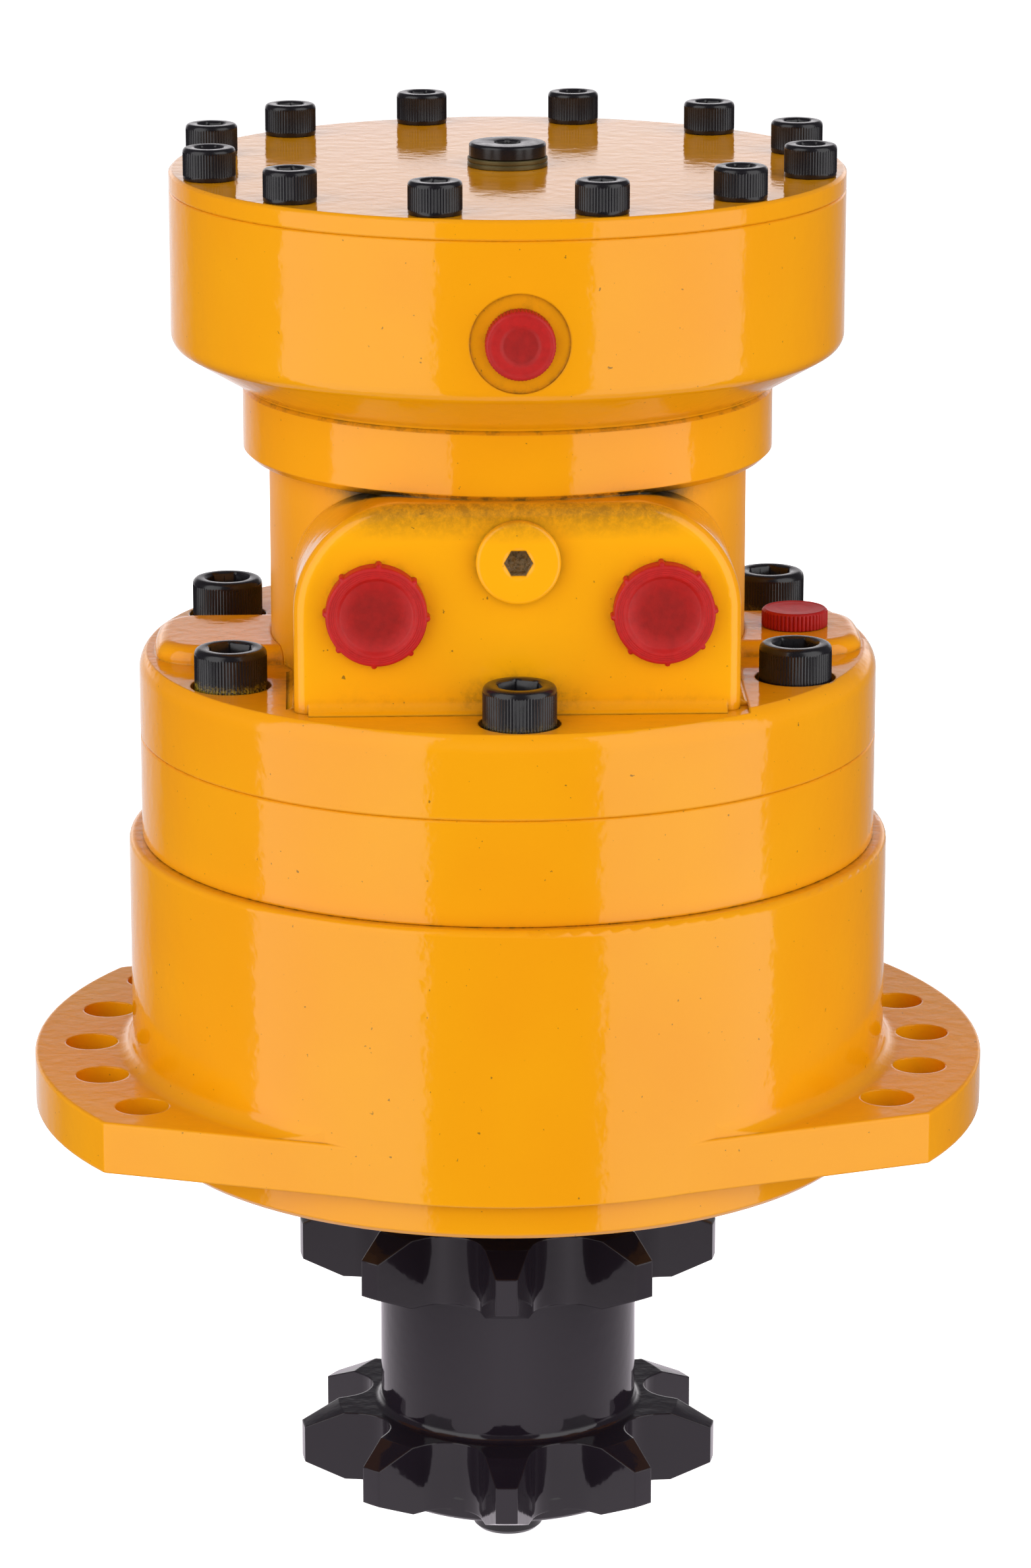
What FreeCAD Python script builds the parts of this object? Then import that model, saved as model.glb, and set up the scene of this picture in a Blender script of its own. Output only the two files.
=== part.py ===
import FreeCAD, Part
import math
import os

# Hydraulic drive motor: radial-piston, multi-lobe cam motor with a spring-applied
# multi-disc brake on top and a two-row chain sprocket on the output shaft below.
# Frame: +Z up along the shaft axis (brake up, sprocket down), -Y is the port face,
# +X is through the middle of one mounting ear.
# Origin: centre of the mounting face (underside of the mounting flange) on the shaft axis.
# Millimetres throughout.

os.makedirs("parts", exist_ok=True)
V = FreeCAD.Vector
PI = math.pi

# ---------------------------------------------------------------- driving dimensions
# bearing housing and mounting flange
R_HOUSING = 96.8
Z_HOUSING_TOP = 70.0
R_FLANGE = 122.0
FLANGE_T = 13.0
FLANGE_EAR_DEG = 57.0        # half angle from -Y/+Y at which the ear arc ends
R_PILOT = 93.0
PILOT_H = 9.5
FLANGE_PCR = 107.5           # hole circle radius
FLANGE_HOLE_R = 6.75
FLANGE_HOLE_DEG = (60.0, 75.0, 90.0, 105.0, 120.0)
# cam ring and valving cover
R_VALVE = 93.5
Z_CAM_TOP = 96.5
Z_CAM_BOT = 60.0
R_CAM_SPIGOT = 91.4
R_CAM_SEAL = 89.3            # middle of both O-rings of the cam ring
Z_VALVE_FLANGE_TOP = 117.5
Z_FLOOR_RIGHT = 118.4
Z_CAST_TOP = 119.2           # where the rounded shoulder would end
Z_PAD_TOP = 122.0
R_NECK = 60.0
Z_RING_BOT = 168.5
Z_RING_TOP = 186.0
R_RING = 66.5
Y_FACE = -70.0               # port face plane
FACE_HALF_W = 54.2
FACE_CORNER_R = 27.0
# brake
R_BRAKE = 84.2
Z_BRAKE_CYL_BOT = 197.0
Z_BRAKE_SEAM = 235.0
Z_COVER_TOP = 240.0
# fasteners
M12_PCR = 80.6
M12_HEAD_Z = 115.2
M12_DEG = (0.0, 60.0, 120.0, 180.0, 242.5, 300.0)
M8_PCR = 76.3
# ports
PORT_X = 34.7
PORT_MID = 0.5               # middle of the two ports, from the axis
PORT_Z = 142.5
PORT_R = 10.25               # M22x1.5 minor radius
PLUG_Z = 155.3
BRAKE_PORT_Z = 210.6
BRAKE_PORT_FLAT_Y = -82.8
SMALL_PORT_R = 6.25          # M14x1.5 minor radius
DRAIN_X = 73.0
# cam and pistons
N_LOBES = 6
N_PISTONS = 8
PISTON_Z = 78.0
PISTON_R = 14.0
ROLLER_R = 8.5
ROLLER_HALF_L = 10.9
PITCH_MEAN = 61.5
PITCH_AMP = 5.0
R_RETRACT = 56.0             # roller centre, pistons fully drawn in
BLOCK_PHASE = 5.0            # degrees, angle of piston 1 at rest
R_BLOCK = 62.0
Z_BLOCK_BOT, Z_BLOCK_TOP = 60.5, 95.5
# sprocket: 9 teeth, 31.75 mm pitch, 19.05 mm roller
CHAIN_PITCH = 31.75
N_TEETH = 9
R_PITCH = CHAIN_PITCH / (2 * math.sin(PI / N_TEETH))
R_TIP = 54.4
GULLET_R = 9.8
TIP_HALF_W = 2.75
TOOTH_T = 18.4
TIP_LAND = 9.6
R_CHAMFER = 44.6
Z_ROW_UP = -38.8
Z_ROW_LOW = -95.1
R_HUB = 33.3
HUB_TOP = -14.0
HUB_BOT = -106.9
SPROCKET_TURN = -2.4         # degrees, where one tooth points at rest
SPLINE_R = 22.5
SPLINE_ROOT = 20.6


# ---------------------------------------------------------------- helpers
def rev(points):
    """Solid of revolution about Z from (radius, z) points."""
    pts = [V(r, 0, z) for r, z in points]
    face = Part.Face(Part.makePolygon(pts + [pts[0]]))
    s = face.revolve(V(0, 0, 0), V(0, 0, 1), 360)
    if s.Volume < 0:
        s.reverse()
    return s


def cyl(r, z0, z1, x=0.0, y=0.0):
    return Part.makeCylinder(r, z1 - z0, V(x, y, z0))


def cyl_y(r, x, z, y0, y1):
    """Cylinder along Y from y0 to y1 (y1 > y0)."""
    return Part.makeCylinder(r, y1 - y0, V(x, y0, z), V(0, 1, 0))


def tube(ri, ro, z0, z1):
    return rev([(ri, z0), (ro, z0), (ro, z1), (ri, z1)])


def at(radius, deg):
    """Point on a circle, deg measured from -Y (front) towards +X."""
    a = math.radians(deg)
    return radius * math.sin(a), -radius * math.cos(a)


def fillet_circles(shape, specs):
    for r, z, rad in specs:
        edges = [
            e
            for e in shape.Edges
            if isinstance(e.Curve, Part.Circle)
            and abs(e.Curve.Radius - r) < 0.03
            and abs(e.Curve.Center.z - z) < 0.03
            and math.hypot(e.Curve.Center.x, e.Curve.Center.y) < 0.03
        ]
        if not edges:
            print("no edge at", r, z)
            continue
        try:
            s = shape.makeFillet(rad, edges)
            if s.isValid() and s.Volume > 0:
                shape = s
            else:
                print("fillet invalid at", r, z)
        except Exception as err:
            print("fillet failed at", r, z, err)
    return shape


def prism(points, z0, z1):
    pts = [V(x, y, z0) for x, y in points]
    return Part.Face(Part.makePolygon(pts + [pts[0]])).extrude(V(0, 0, z1 - z0))


def hexagon(af, z0, z1, turn=0.0):
    r = af / math.sqrt(3)
    pts = [
        (r * math.cos(math.radians(60 * i + turn)), r * math.sin(math.radians(60 * i + turn)))
        for i in range(6)
    ]
    return prism(pts, z0, z1)


def spline_solid(r_root, r_tip, n, z0, z1, grow=0.0, phase=0.0):
    """Straight-sided spline prism; grow widens it for the female form."""
    pitch = 2 * PI / n
    half_root = pitch * 0.29
    half_tip = pitch * 0.19
    pts = []
    for i in range(n):
        c = i * pitch + math.radians(phase)
        for rad, half in (
            (r_root + grow, -half_root - grow / r_root),
            (r_tip + grow, -half_tip - grow / r_tip),
            (r_tip + grow, half_tip + grow / r_tip),
            (r_root + grow, half_root + grow / r_root),
        ):
            pts.append((rad * math.cos(c + half), rad * math.sin(c + half)))
    return prism(pts, z0, z1)


def cap_screw(head_r, head_h, shank_r, length, af, socket, turn=0.0, cham=0.7):
    """Socket head cap screw. Head base at z=0, head up, shank down."""
    body = rev(
        [
            (0, -length),
            (shank_r - 0.9, -length),
            (shank_r, -length + 0.9),
            (shank_r, 0),
            (head_r - 0.25, 0),
            (head_r, 0.25),
            (head_r, head_h - cham),
            (head_r - cham, head_h),
            (0, head_h),
        ]
    )
    return body.cut(hexagon(af, head_h - socket, head_h + 1, turn))


def moved(shape, x=0.0, y=0.0, z=0.0):
    s = shape.copy()
    s.translate(V(x, y, z))
    return s


def turned(shape, deg):
    s = shape.copy()
    s.rotate(V(0, 0, 0), V(0, 0, 1), deg)
    return s


def group(shapes):
    return Part.makeCompound(shapes)


def ring_around(r_mid, z, half_r, half_z=None):
    """Seal ring of rounded-square section, centred on radius r_mid and height z."""
    half_z = half_z or half_r
    c = 0.35 * min(half_r, half_z)
    return rev(
        [
            (r_mid - half_r + c, z - half_z),
            (r_mid + half_r - c, z - half_z),
            (r_mid + half_r, z - half_z + c),
            (r_mid + half_r, z + half_z - c),
            (r_mid + half_r - c, z + half_z),
            (r_mid - half_r + c, z + half_z),
            (r_mid - half_r, z + half_z - c),
            (r_mid - half_r, z - half_z + c),
        ]
    )


PARTS = {}


def put(name, shape):
    solids = shape.Solids
    total = sum(s.Volume for s in solids)
    out = solids[0] if len(solids) == 1 else Part.makeCompound(solids)
    PARTS[name] = out
    out.exportStep(f"parts/{name}.step")
    back = Part.Shape()
    back.read(f"parts/{name}.step")
    ok = all(s.isValid() and s.isClosed() for s in solids) and back.isValid() and len(back.Solids) == len(solids)
    print(f"{name:28s} solids {len(solids):3d}  volume {total/1000:9.2f} cm3  valid {ok}")


# ---------------------------------------------------------------- bearing housing
def flange_outline():
    """Two ears: arcs of R_FLANGE joined by lines that run into the housing cylinder almost tangentially."""
    r_in = R_HOUSING - 0.5
    drop = math.degrees(math.acos(r_in / R_FLANGE))
    t = FLANGE_EAR_DEG - drop    # tangent point angle from -Y
    def p(r, deg):
        x, y = at(r, deg)
        return V(x, y, 0)
    edges = []
    # right ear arc, from the front corner round +X to the back corner
    edges.append(Part.Arc(p(R_FLANGE, FLANGE_EAR_DEG), p(R_FLANGE, 90), p(R_FLANGE, 180 - FLANGE_EAR_DEG)).toShape())
    edges.append(Part.LineSegment(p(R_FLANGE, 180 - FLANGE_EAR_DEG), p(r_in, 180 - t)).toShape())
    edges.append(Part.Arc(p(r_in, 180 - t), p(r_in, 180), p(r_in, 180 + t)).toShape())
    edges.append(Part.LineSegment(p(r_in, 180 + t), p(R_FLANGE, 180 + FLANGE_EAR_DEG)).toShape())
    edges.append(Part.Arc(p(R_FLANGE, 180 + FLANGE_EAR_DEG), p(R_FLANGE, 270), p(R_FLANGE, 360 - FLANGE_EAR_DEG)).toShape())
    edges.append(Part.LineSegment(p(R_FLANGE, 360 - FLANGE_EAR_DEG), p(r_in, 360 - t)).toShape())
    edges.append(Part.Arc(p(r_in, 360 - t), p(r_in, 0), p(r_in, t)).toShape())
    edges.append(Part.LineSegment(p(r_in, t), p(R_FLANGE, FLANGE_EAR_DEG)).toShape())
    return Part.Wire(edges)


flange = Part.Face(flange_outline()).extrude(V(0, 0, FLANGE_T))
try:
    # soften the four vertical ear corners and the ear rims
    corner = [
        e
        for e in flange.Edges
        if abs(e.BoundBox.ZLength - FLANGE_T) < 1e-6
        and abs(math.hypot(e.Vertexes[0].X, e.Vertexes[0].Y) - R_FLANGE) < 0.1
    ]
    flange = flange.makeFillet(2.0, corner)
    rim = [e for e in flange.Edges if abs(e.BoundBox.ZMin - FLANGE_T) < 1e-6 and abs(e.BoundBox.ZMax - FLANGE_T) < 1e-6]
    flange = flange.makeFillet(0.8, rim)
except Exception as err:
    print("flange fillet", err)

body = rev(
    [
        (0, -PILOT_H),
        (R_PILOT - 1.2, -PILOT_H),
        (R_PILOT, -PILOT_H + 1.2),
        (R_PILOT, 0),
        (R_HOUSING, 0),
        (R_HOUSING, Z_HOUSING_TOP),
        (0, Z_HOUSING_TOP),
    ]
)
body = fillet_circles(body, [(R_HOUSING, Z_HOUSING_TOP, 1.6)])
# cast fillet where the cylinder meets the ears, inside the flange outline
skirt = rev(
    [(R_HOUSING - 2, FLANGE_T - 1)]
    + [
        (
            R_HOUSING + 4.0 - 4.0 * math.sin(math.radians(a)),
            FLANGE_T + 4.0 - 4.0 * math.cos(math.radians(a)),
        )
        for a in range(0, 91, 10)
    ]
    + [(R_HOUSING - 2, FLANGE_T + 4.0)]
)
inset = Part.Face(flange_outline()).makeOffset2D(-1.1)
skirt = skirt.common(inset.extrude(V(0, 0, 40)))
housing = body.fuse(flange).fuse(skirt).removeSplitter()

cuts = [
    # recess for the cam ring spigot
    cyl(R_CAM_SPIGOT + 0.03, Z_CAM_BOT, Z_HOUSING_TOP + 1),
    # front bearing and shaft seal seat (from below), shoulder, rear bearing seat (from above)
    cyl(47.52, -PILOT_H - 1, 28.0),
    cyl(41.0, 27.0, 35.0),
    cyl(45.02, 34.0, Z_CAM_BOT + 1),
    # lead-in relief round the seal bore
    rev([(0, -PILOT_H - 1), (49.5, -PILOT_H - 1), (49.5, -PILOT_H + 0.2), (47.5, -PILOT_H + 2.2), (0, -PILOT_H + 2.2)]),
    # O-ring groove in the recess floor
    tube(R_CAM_SEAL - 1.1, R_CAM_SEAL + 1.1, Z_CAM_BOT - 1.7, Z_CAM_BOT + 0.5),
]
for d in M12_DEG:
    x, y = at(M12_PCR, d)
    cuts.append(cyl(6.05, 31.0, Z_CAM_BOT + 1, x, y))
for side in (1, -1):
    for d in FLANGE_HOLE_DEG:
        x, y = at(FLANGE_PCR, side * d)
        cuts.append(cyl(FLANGE_HOLE_R, -1, FLANGE_T + 1, x, y))
# case drain drilling from the bearing space up to the cam space
cuts.append(cyl(3.0, 37.0, Z_CAM_BOT + 1, 52.0, 0.0))
cuts.append(Part.makeCylinder(2.6, 11.0, V(41.0, 0, 40.5), V(1, 0, 0)))
# locating pin holes
for s in (1, -1):
    x, y = at(M12_PCR, 30 if s > 0 else 210)
    cuts.append(cyl(4.02, 50.0, Z_CAM_BOT + 1, x, y))
housing = housing.cut(cuts)
put("bearing_housing", housing)

# ---------------------------------------------------------------- shaft seal
seal = rev(
    [
        (47.45, -7.0),
        (47.45, 3.0),
        (44.8, 3.0),
        (44.8, -4.6),
        (37.5, -4.6),
        (35.2, 1.6),
        (33.6, 2.2),
        (32.56, 0.9),
        (33.8, -0.6),
        (34.6, -4.4),
        (33.0, -6.6),
        (32.6, -7.0),
    ]
)
put("shaft_seal", seal)


# ---------------------------------------------------------------- tapered roller bearings
def bearing(tag, r_i, r_o, z0, sign, n, rr):
    """s runs from the small end (s=0 at z0) to the large end; sign gives the direction of s along Z."""
    width = 23.0
    rm = (r_i + r_o) / 2
    ar = math.radians(13.0)
    length = rm / math.sin(ar)
    beta = math.atan(rr / length)
    x_off = length * math.cos(ar) - width / 2

    def zz(s):
        return z0 + sign * s

    def cup_r(s):
        return (s + x_off) * math.tan(ar + beta)

    def cone_r(s):
        return (s + x_off) * math.tan(ar - beta)

    def mid_r(s):
        return (s + x_off) * math.tan(ar)

    cup = rev([(cup_r(0), zz(0)), (r_o, zz(0)), (r_o, zz(17.5)), (cup_r(17.5), zz(17.5))])
    gap = 0.03
    cone_pts = [
        (r_i, zz(0.6)),
        (cone_r(2.0) + 1.2, zz(0.6)),
        (cone_r(2.0) + 1.2, zz(3.2)),
        (cone_r(3.2) - gap, zz(3.2)),
        (cone_r(20.6) - gap, zz(20.6)),
        (cone_r(20.6) + 2.6, zz(20.6)),
        (cone_r(20.6) + 2.4, zz(23.0)),
        (r_i, zz(23.0)),
    ]
    cone = rev(cone_pts)
    rollers, windows = [], []
    half = 7.9
    l0, l1 = length - half, length + half

    def roller(grow, extra):
        a, b = l0 - extra, l1 + extra
        c = Part.makeCone(a * math.tan(beta) - gap + grow, b * math.tan(beta) - gap + grow, b - a, V(0, 0, a), V(0, 0, 1))
        # lay the roller axis 13 degrees off the shaft axis, apex on the shaft axis
        c.rotate(V(0, 0, 0), V(0, 1, 0), 13.0)
        c.translate(V(0, 0, -(length * math.cos(ar)) + width / 2))
        return c

    base = roller(0.0, 0.0)
    wide = roller(0.16, 0.25)
    # cage strip, outside the pitch cone
    cage = rev(
        [
            (mid_r(1.6) + 1.3, 1.6),
            (mid_r(1.6) + 2.6, 1.6),
            (mid_r(21.8) + 2.6, 21.8),
            (mid_r(21.8) + 1.3, 21.8),
        ]
    )
    for i in range(n):
        rollers.append(turned(base, 360.0 * i / n))
        windows.append(turned(wide, 360.0 * i / n))
    cage = cage.cut(windows)
    local = []
    for s in rollers + [cage]:
        if sign < 0:
            s = s.mirror(V(0, 0, 0), V(0, 0, 1))
        s = moved(s, z=z0)
        local.append(s)
    put(f"{tag}_bearing_cup", cup)
    put(f"{tag}_bearing_cone", cone)
    put(f"{tag}_bearing_rollers", group(local[:-1]))
    put(f"{tag}_bearing_cage", local[-1])


bearing("front", 30.0, 47.5, 28.0, -1, 20, 4.1)
bearing("rear", 27.5, 45.0, 34.0, 1, 19, 4.1)

# ---------------------------------------------------------------- output shaft
shaft = rev(
    [
        (0, -104.0),
        (SPLINE_ROOT - 1.0, -104.0),
        (SPLINE_ROOT, -103.0),
        (SPLINE_ROOT, -20.0),
        (SPLINE_R + 1.5, -18.0),
        (SPLINE_R + 1.5, -14.0),
        (31.5, -14.0),
        (32.5, -13.0),
        (32.5, 4.4),
        (31.9, 5.0),
        (30.0 - 0.01, 5.0),
        (30.0 - 0.01, 28.5),
        (28.6, 29.0),
        (28.6, 33.6),
        (27.5 - 0.01, 34.0),
        (27.5 - 0.01, 57.0),
        (26.0, 57.0),
        (26.0, 60.2),
        (24.4, 60.4),
        (24.4, 79.0),
        (23.4, 80.0),
        (0, 80.0),
    ]
)
shaft = shaft.fuse(spline_solid(SPLINE_ROOT - 0.2, SPLINE_R, 24, -103.0, -20.0))
shaft = shaft.fuse(spline_solid(24.2, 26.0, 28, 60.4, 79.2))
shaft = shaft.removeSplitter()
shaft = shaft.cut([cyl(6.05, -105, -62.0), rev([(0, -62.1), (6.05, -62.1), (0, -58.4)]), rev([(0, 80.1), (4.5, 80.1), (1.6, 76.0), (0, 76.0)])])
put("output_shaft", turned(shaft, SPROCKET_TURN))

put(
    "bearing_lock_ring",
    tube(26.05, 36.0, 57.05, 60.2)
    .cut(Part.makeBox(20, 2.4, 6, V(28.5, -1.2, 56.0))),
)


# ---------------------------------------------------------------- double sprocket
def sprocket_outline():
    """Closed wire of the toothed outline: round gullets on the pitch circle, straight flanks, flat tips."""
    half_step = PI / N_TEETH
    tip_half = TIP_HALF_W / R_TIP
    segs = []
    first = None
    last = None
    for i in range(N_TEETH):
        tc = 2 * half_step * i
        gc = tc + half_step
        gx, gy = R_PITCH * math.cos(gc), R_PITCH * math.sin(gc)

        def tangent(tx, ty, side):
            dx, dy = tx - gx, ty - gy
            d = math.hypot(dx, dy)
            base = math.atan2(dy, dx)
            off = math.acos(GULLET_R / d)
            # the tangent point nearer the shaft axis is on the gullet side
            cands = []
            for sgn in (1, -1):
                a = base + sgn * off
                cands.append((gx + GULLET_R * math.cos(a), gy + GULLET_R * math.sin(a)))
            return min(cands, key=lambda q: math.hypot(q[0], q[1]))

        t1 = (R_TIP * math.cos(tc + tip_half), R_TIP * math.sin(tc + tip_half))
        t2 = (R_TIP * math.cos(tc + 2 * half_step - tip_half), R_TIP * math.sin(tc + 2 * half_step - tip_half))
        p1 = tangent(*t1, 1)
        p2 = tangent(*t2, -1)
        bottom = ((R_PITCH - GULLET_R) * math.cos(gc), (R_PITCH - GULLET_R) * math.sin(gc))
        if first is None:
            first = (R_TIP * math.cos(tc - tip_half), R_TIP * math.sin(tc - tip_half))
            last = first
        mid = (R_TIP * math.cos(tc), R_TIP * math.sin(tc))
        segs.append(Part.Arc(V(last[0], last[1], 0), V(mid[0], mid[1], 0), V(t1[0], t1[1], 0)).toShape())
        segs.append(Part.LineSegment(V(t1[0], t1[1], 0), V(p1[0], p1[1], 0)).toShape())
        segs.append(Part.Arc(V(p1[0], p1[1], 0), V(bottom[0], bottom[1], 0), V(p2[0], p2[1], 0)).toShape())
        end = t2 if i < N_TEETH - 1 else first
        segs.append(Part.LineSegment(V(p2[0], p2[1], 0), V(end[0], end[1], 0)).toShape())
        last = end
    return Part.Wire(segs)


row = Part.Face(sprocket_outline()).extrude(V(0, 0, TOOTH_T))
row.translate(V(0, 0, -TOOTH_T / 2))
lens = rev(
    [
        (0, -TOOTH_T / 2),
        (R_CHAMFER, -TOOTH_T / 2),
        (R_TIP + 1.0, -TIP_LAND / 2 + 0.43),
        (R_TIP + 1.0, TIP_LAND / 2 - 0.43),
        (R_CHAMFER, TOOTH_T / 2),
        (0, TOOTH_T / 2),
    ]
)
row = row.common(lens)
row = turned(row, -90.0)     # first tooth to the front
hub = rev(
    [
        (0, HUB_BOT),
        (36.0, HUB_BOT),
        (36.8, HUB_BOT + 0.8),
        (36.8, Z_ROW_LOW - 6),
        (R_HUB, Z_ROW_LOW - 6),
        (R_HUB, HUB_TOP - 0.8),
        (R_HUB - 0.8, HUB_TOP),
        (0, HUB_TOP),
    ]
)
sprocket = hub.fuse([moved(row, z=Z_ROW_UP), moved(row, z=Z_ROW_LOW)])
sprocket = sprocket.removeSplitter()
# weld-like root fillet rings at the faces of the rows
for zc, sg in ((Z_ROW_LOW + TOOTH_T / 2, 1), (Z_ROW_UP - TOOTH_T / 2, -1), (Z_ROW_UP + TOOTH_T / 2, 1)):
    ring = rev(
        [(R_HUB - 1, zc - sg * 0.5)]
        + [
            (R_HUB + 1.8 - 1.8 * math.sin(math.radians(a)), zc + sg * (1.8 - 1.8 * math.cos(math.radians(a))))
            for a in range(0, 91, 15)
        ]
        + [(R_HUB - 1, zc + sg * 1.8)]
    )
    sprocket = sprocket.fuse(ring)
sprocket = sprocket.cut(
    [
        spline_solid(SPLINE_ROOT, SPLINE_R, 24, HUB_BOT - 1, HUB_TOP + 1, 0.05),
        rev([(0, HUB_TOP + 1), (25.2, HUB_TOP + 1), (25.2, -19.0), (22.5, -21.0), (0, -21.0)]),
    ]
)
# shaft and sprocket share the splines, so both stand turned by SPROCKET_TURN
put("double_sprocket", turned(sprocket, SPROCKET_TURN))

washer = rev([(6.5, -109.9), (23.0 - 0.5, -109.9), (23.0, -109.4), (23.0, HUB_BOT - 0.5), (22.6, HUB_BOT), (6.5, HUB_BOT)])
put("sprocket_washer", washer)
bolt = cap_screw(9.0, 12.0, 6.0, 40.0, 10.0, 6.0, 15.0, 1.0)
bolt.rotate(V(0, 0, 0), V(1, 0, 0), 180)
bolt.translate(V(0, 0, -109.9))
put("sprocket_bolt", bolt)


# ---------------------------------------------------------------- cam ring
def cam_points(offset, n=144):
    out = []
    for i in range(n):
        th = 2 * PI * i / n
        r = PITCH_MEAN - PITCH_AMP * math.cos(N_LOBES * th)
        dr = PITCH_AMP * N_LOBES * math.sin(N_LOBES * th)
        # th measured from -Y towards +X
        x, y = r * math.sin(th), -r * math.cos(th)
        tx, ty = dr * math.sin(th) + r * math.cos(th), -dr * math.cos(th) + r * math.sin(th)
        length = math.hypot(tx, ty)
        nx, ny = ty / length, -tx / length
        out.append(V(x + offset * nx, y + offset * ny, 0))
    return out


curve = Part.BSplineCurve()
curve.interpolate(cam_points(ROLLER_R), PeriodicFlag=True)
cam_void = Part.Face(Part.Wire([curve.toShape()])).extrude(V(0, 0, 60))
cam_void.translate(V(0, 0, 50))
cam = rev(
    [
        (0, Z_CAM_BOT),
        (R_CAM_SPIGOT - 0.6, Z_CAM_BOT),
        (R_CAM_SPIGOT, Z_CAM_BOT + 0.6),
        (R_CAM_SPIGOT, Z_HOUSING_TOP),
        (R_VALVE - 0.3, Z_HOUSING_TOP),
        (R_VALVE, Z_HOUSING_TOP + 0.3),
        (R_VALVE, Z_CAM_TOP - 0.45),
        (R_VALVE - 0.45, Z_CAM_TOP),
        (0, Z_CAM_TOP),
    ]
)
cuts = [cam_void, tube(R_CAM_SEAL - 1.1, R_CAM_SEAL + 1.1, Z_CAM_TOP - 1.7, Z_CAM_TOP + 0.5)]
for d in M12_DEG:
    x, y = at(M12_PCR, d)
    cuts.append(cyl(6.5, Z_CAM_BOT - 1, Z_CAM_TOP + 1, x, y))
for d in (30, 210):
    x, y = at(M12_PCR, d)
    cuts.append(cyl(4.02, Z_CAM_BOT - 1, Z_CAM_BOT + 12, x, y))
    cuts.append(cyl(4.02, Z_CAM_TOP - 12, Z_CAM_TOP + 1, x, y))
cam = cam.cut(cuts)
put("cam_ring", cam)

put(
    "cam_ring_o_rings",
    group([ring_around(R_CAM_SEAL, Z_CAM_BOT - 0.85, 1.05, 0.83), ring_around(R_CAM_SEAL, Z_CAM_TOP - 0.85, 1.05, 0.83)]),
)
pins = []
for d in (30, 210):
    x, y = at(M12_PCR, d)
    for z0, z1 in ((50.5, 71.5), (85.0, 106.0)):
        p = rev([(0, z0), (3.5, z0), (4.0, z0 + 0.5), (4.0, z1 - 0.5), (3.5, z1), (0, z1)])
        pins.append(moved(p, x, y))
put("locating_pins", group(pins))

# ---------------------------------------------------------------- cylinder block
block = rev(
    [
        (0, Z_BLOCK_BOT),
        (R_BLOCK - 1, Z_BLOCK_BOT),
        (R_BLOCK, Z_BLOCK_BOT + 1),
        (R_BLOCK, Z_BLOCK_TOP - 1),
        (R_BLOCK - 1, Z_BLOCK_TOP),
        (0, Z_BLOCK_TOP),
    ]
)
cuts = [
    turned(spline_solid(24.4, 26.0, 28, Z_BLOCK_BOT - 1, Z_BLOCK_TOP + 1, 0.05), SPROCKET_TURN),
]
for k in range(N_PISTONS):
    d = BLOCK_PHASE + 45.0 * k
    a = math.radians(d)
    ux, uy = math.sin(a), -math.cos(a)
    cuts.append(Part.makeCylinder(PISTON_R + 0.02, 40.0, V(36.0 * ux, 36.0 * uy, PISTON_Z), V(ux, uy, 0)))
    cuts.append(cyl(3.0, PISTON_Z, Z_BLOCK_TOP + 1, 38.5 * ux, 38.5 * uy))
block = block.cut(cuts)
put("cylinder_block", block)

# ---------------------------------------------------------------- pistons and rollers
piston = Part.makeCylinder(PISTON_R - 0.02, 19.0, V(40.0, 0, 0), V(1, 0, 0))
inner = [e for e in piston.Edges if abs(e.BoundBox.XMin - 40.0) < 1e-6 and abs(e.BoundBox.XMax - 40.0) < 1e-6]
piston = piston.makeChamfer(0.8, inner)
piston = piston.cut(
    [
        Part.makeCylinder(ROLLER_R + 0.03, 40.0, V(R_RETRACT, 0, -20.0), V(0, 0, 1)),
        Part.makeCylinder(1.2, 20.0, V(39.0, 0, 0), V(1, 0, 0)),
        # groove for the piston seal
        Part.makeCylinder(PISTON_R + 1, 2.0, V(43.0, 0, 0), V(1, 0, 0)).cut(
            Part.makeCylinder(PISTON_R - 1.6, 2.0, V(43.0, 0, 0), V(1, 0, 0))
        ),
    ]
)
seal_ring = Part.makeCylinder(PISTON_R - 0.02, 1.9, V(43.05, 0, 0), V(1, 0, 0)).cut(
    Part.makeCylinder(PISTON_R - 1.55, 1.9, V(43.05, 0, 0), V(1, 0, 0))
)
roller = rev(
    [
        (0, -ROLLER_HALF_L),
        (ROLLER_R - 0.6, -ROLLER_HALF_L),
        (ROLLER_R, -ROLLER_HALF_L + 0.6),
        (ROLLER_R, ROLLER_HALF_L - 0.6),
        (ROLLER_R - 0.6, ROLLER_HALF_L),
        (0, ROLLER_HALF_L),
    ]
)
roller.translate(V(R_RETRACT, 0, 0))
for k in range(N_PISTONS):
    d = BLOCK_PHASE + 45.0 * k
    spin = d - 90.0            # +X turned to the piston's direction
    p = group([piston.copy(), seal_ring.copy()])
    p = moved(turned(p, spin), z=PISTON_Z)
    put(f"piston_{k+1}", p)
    put(f"piston_roller_{k+1}", moved(turned(roller, spin), z=PISTON_Z))

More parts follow.
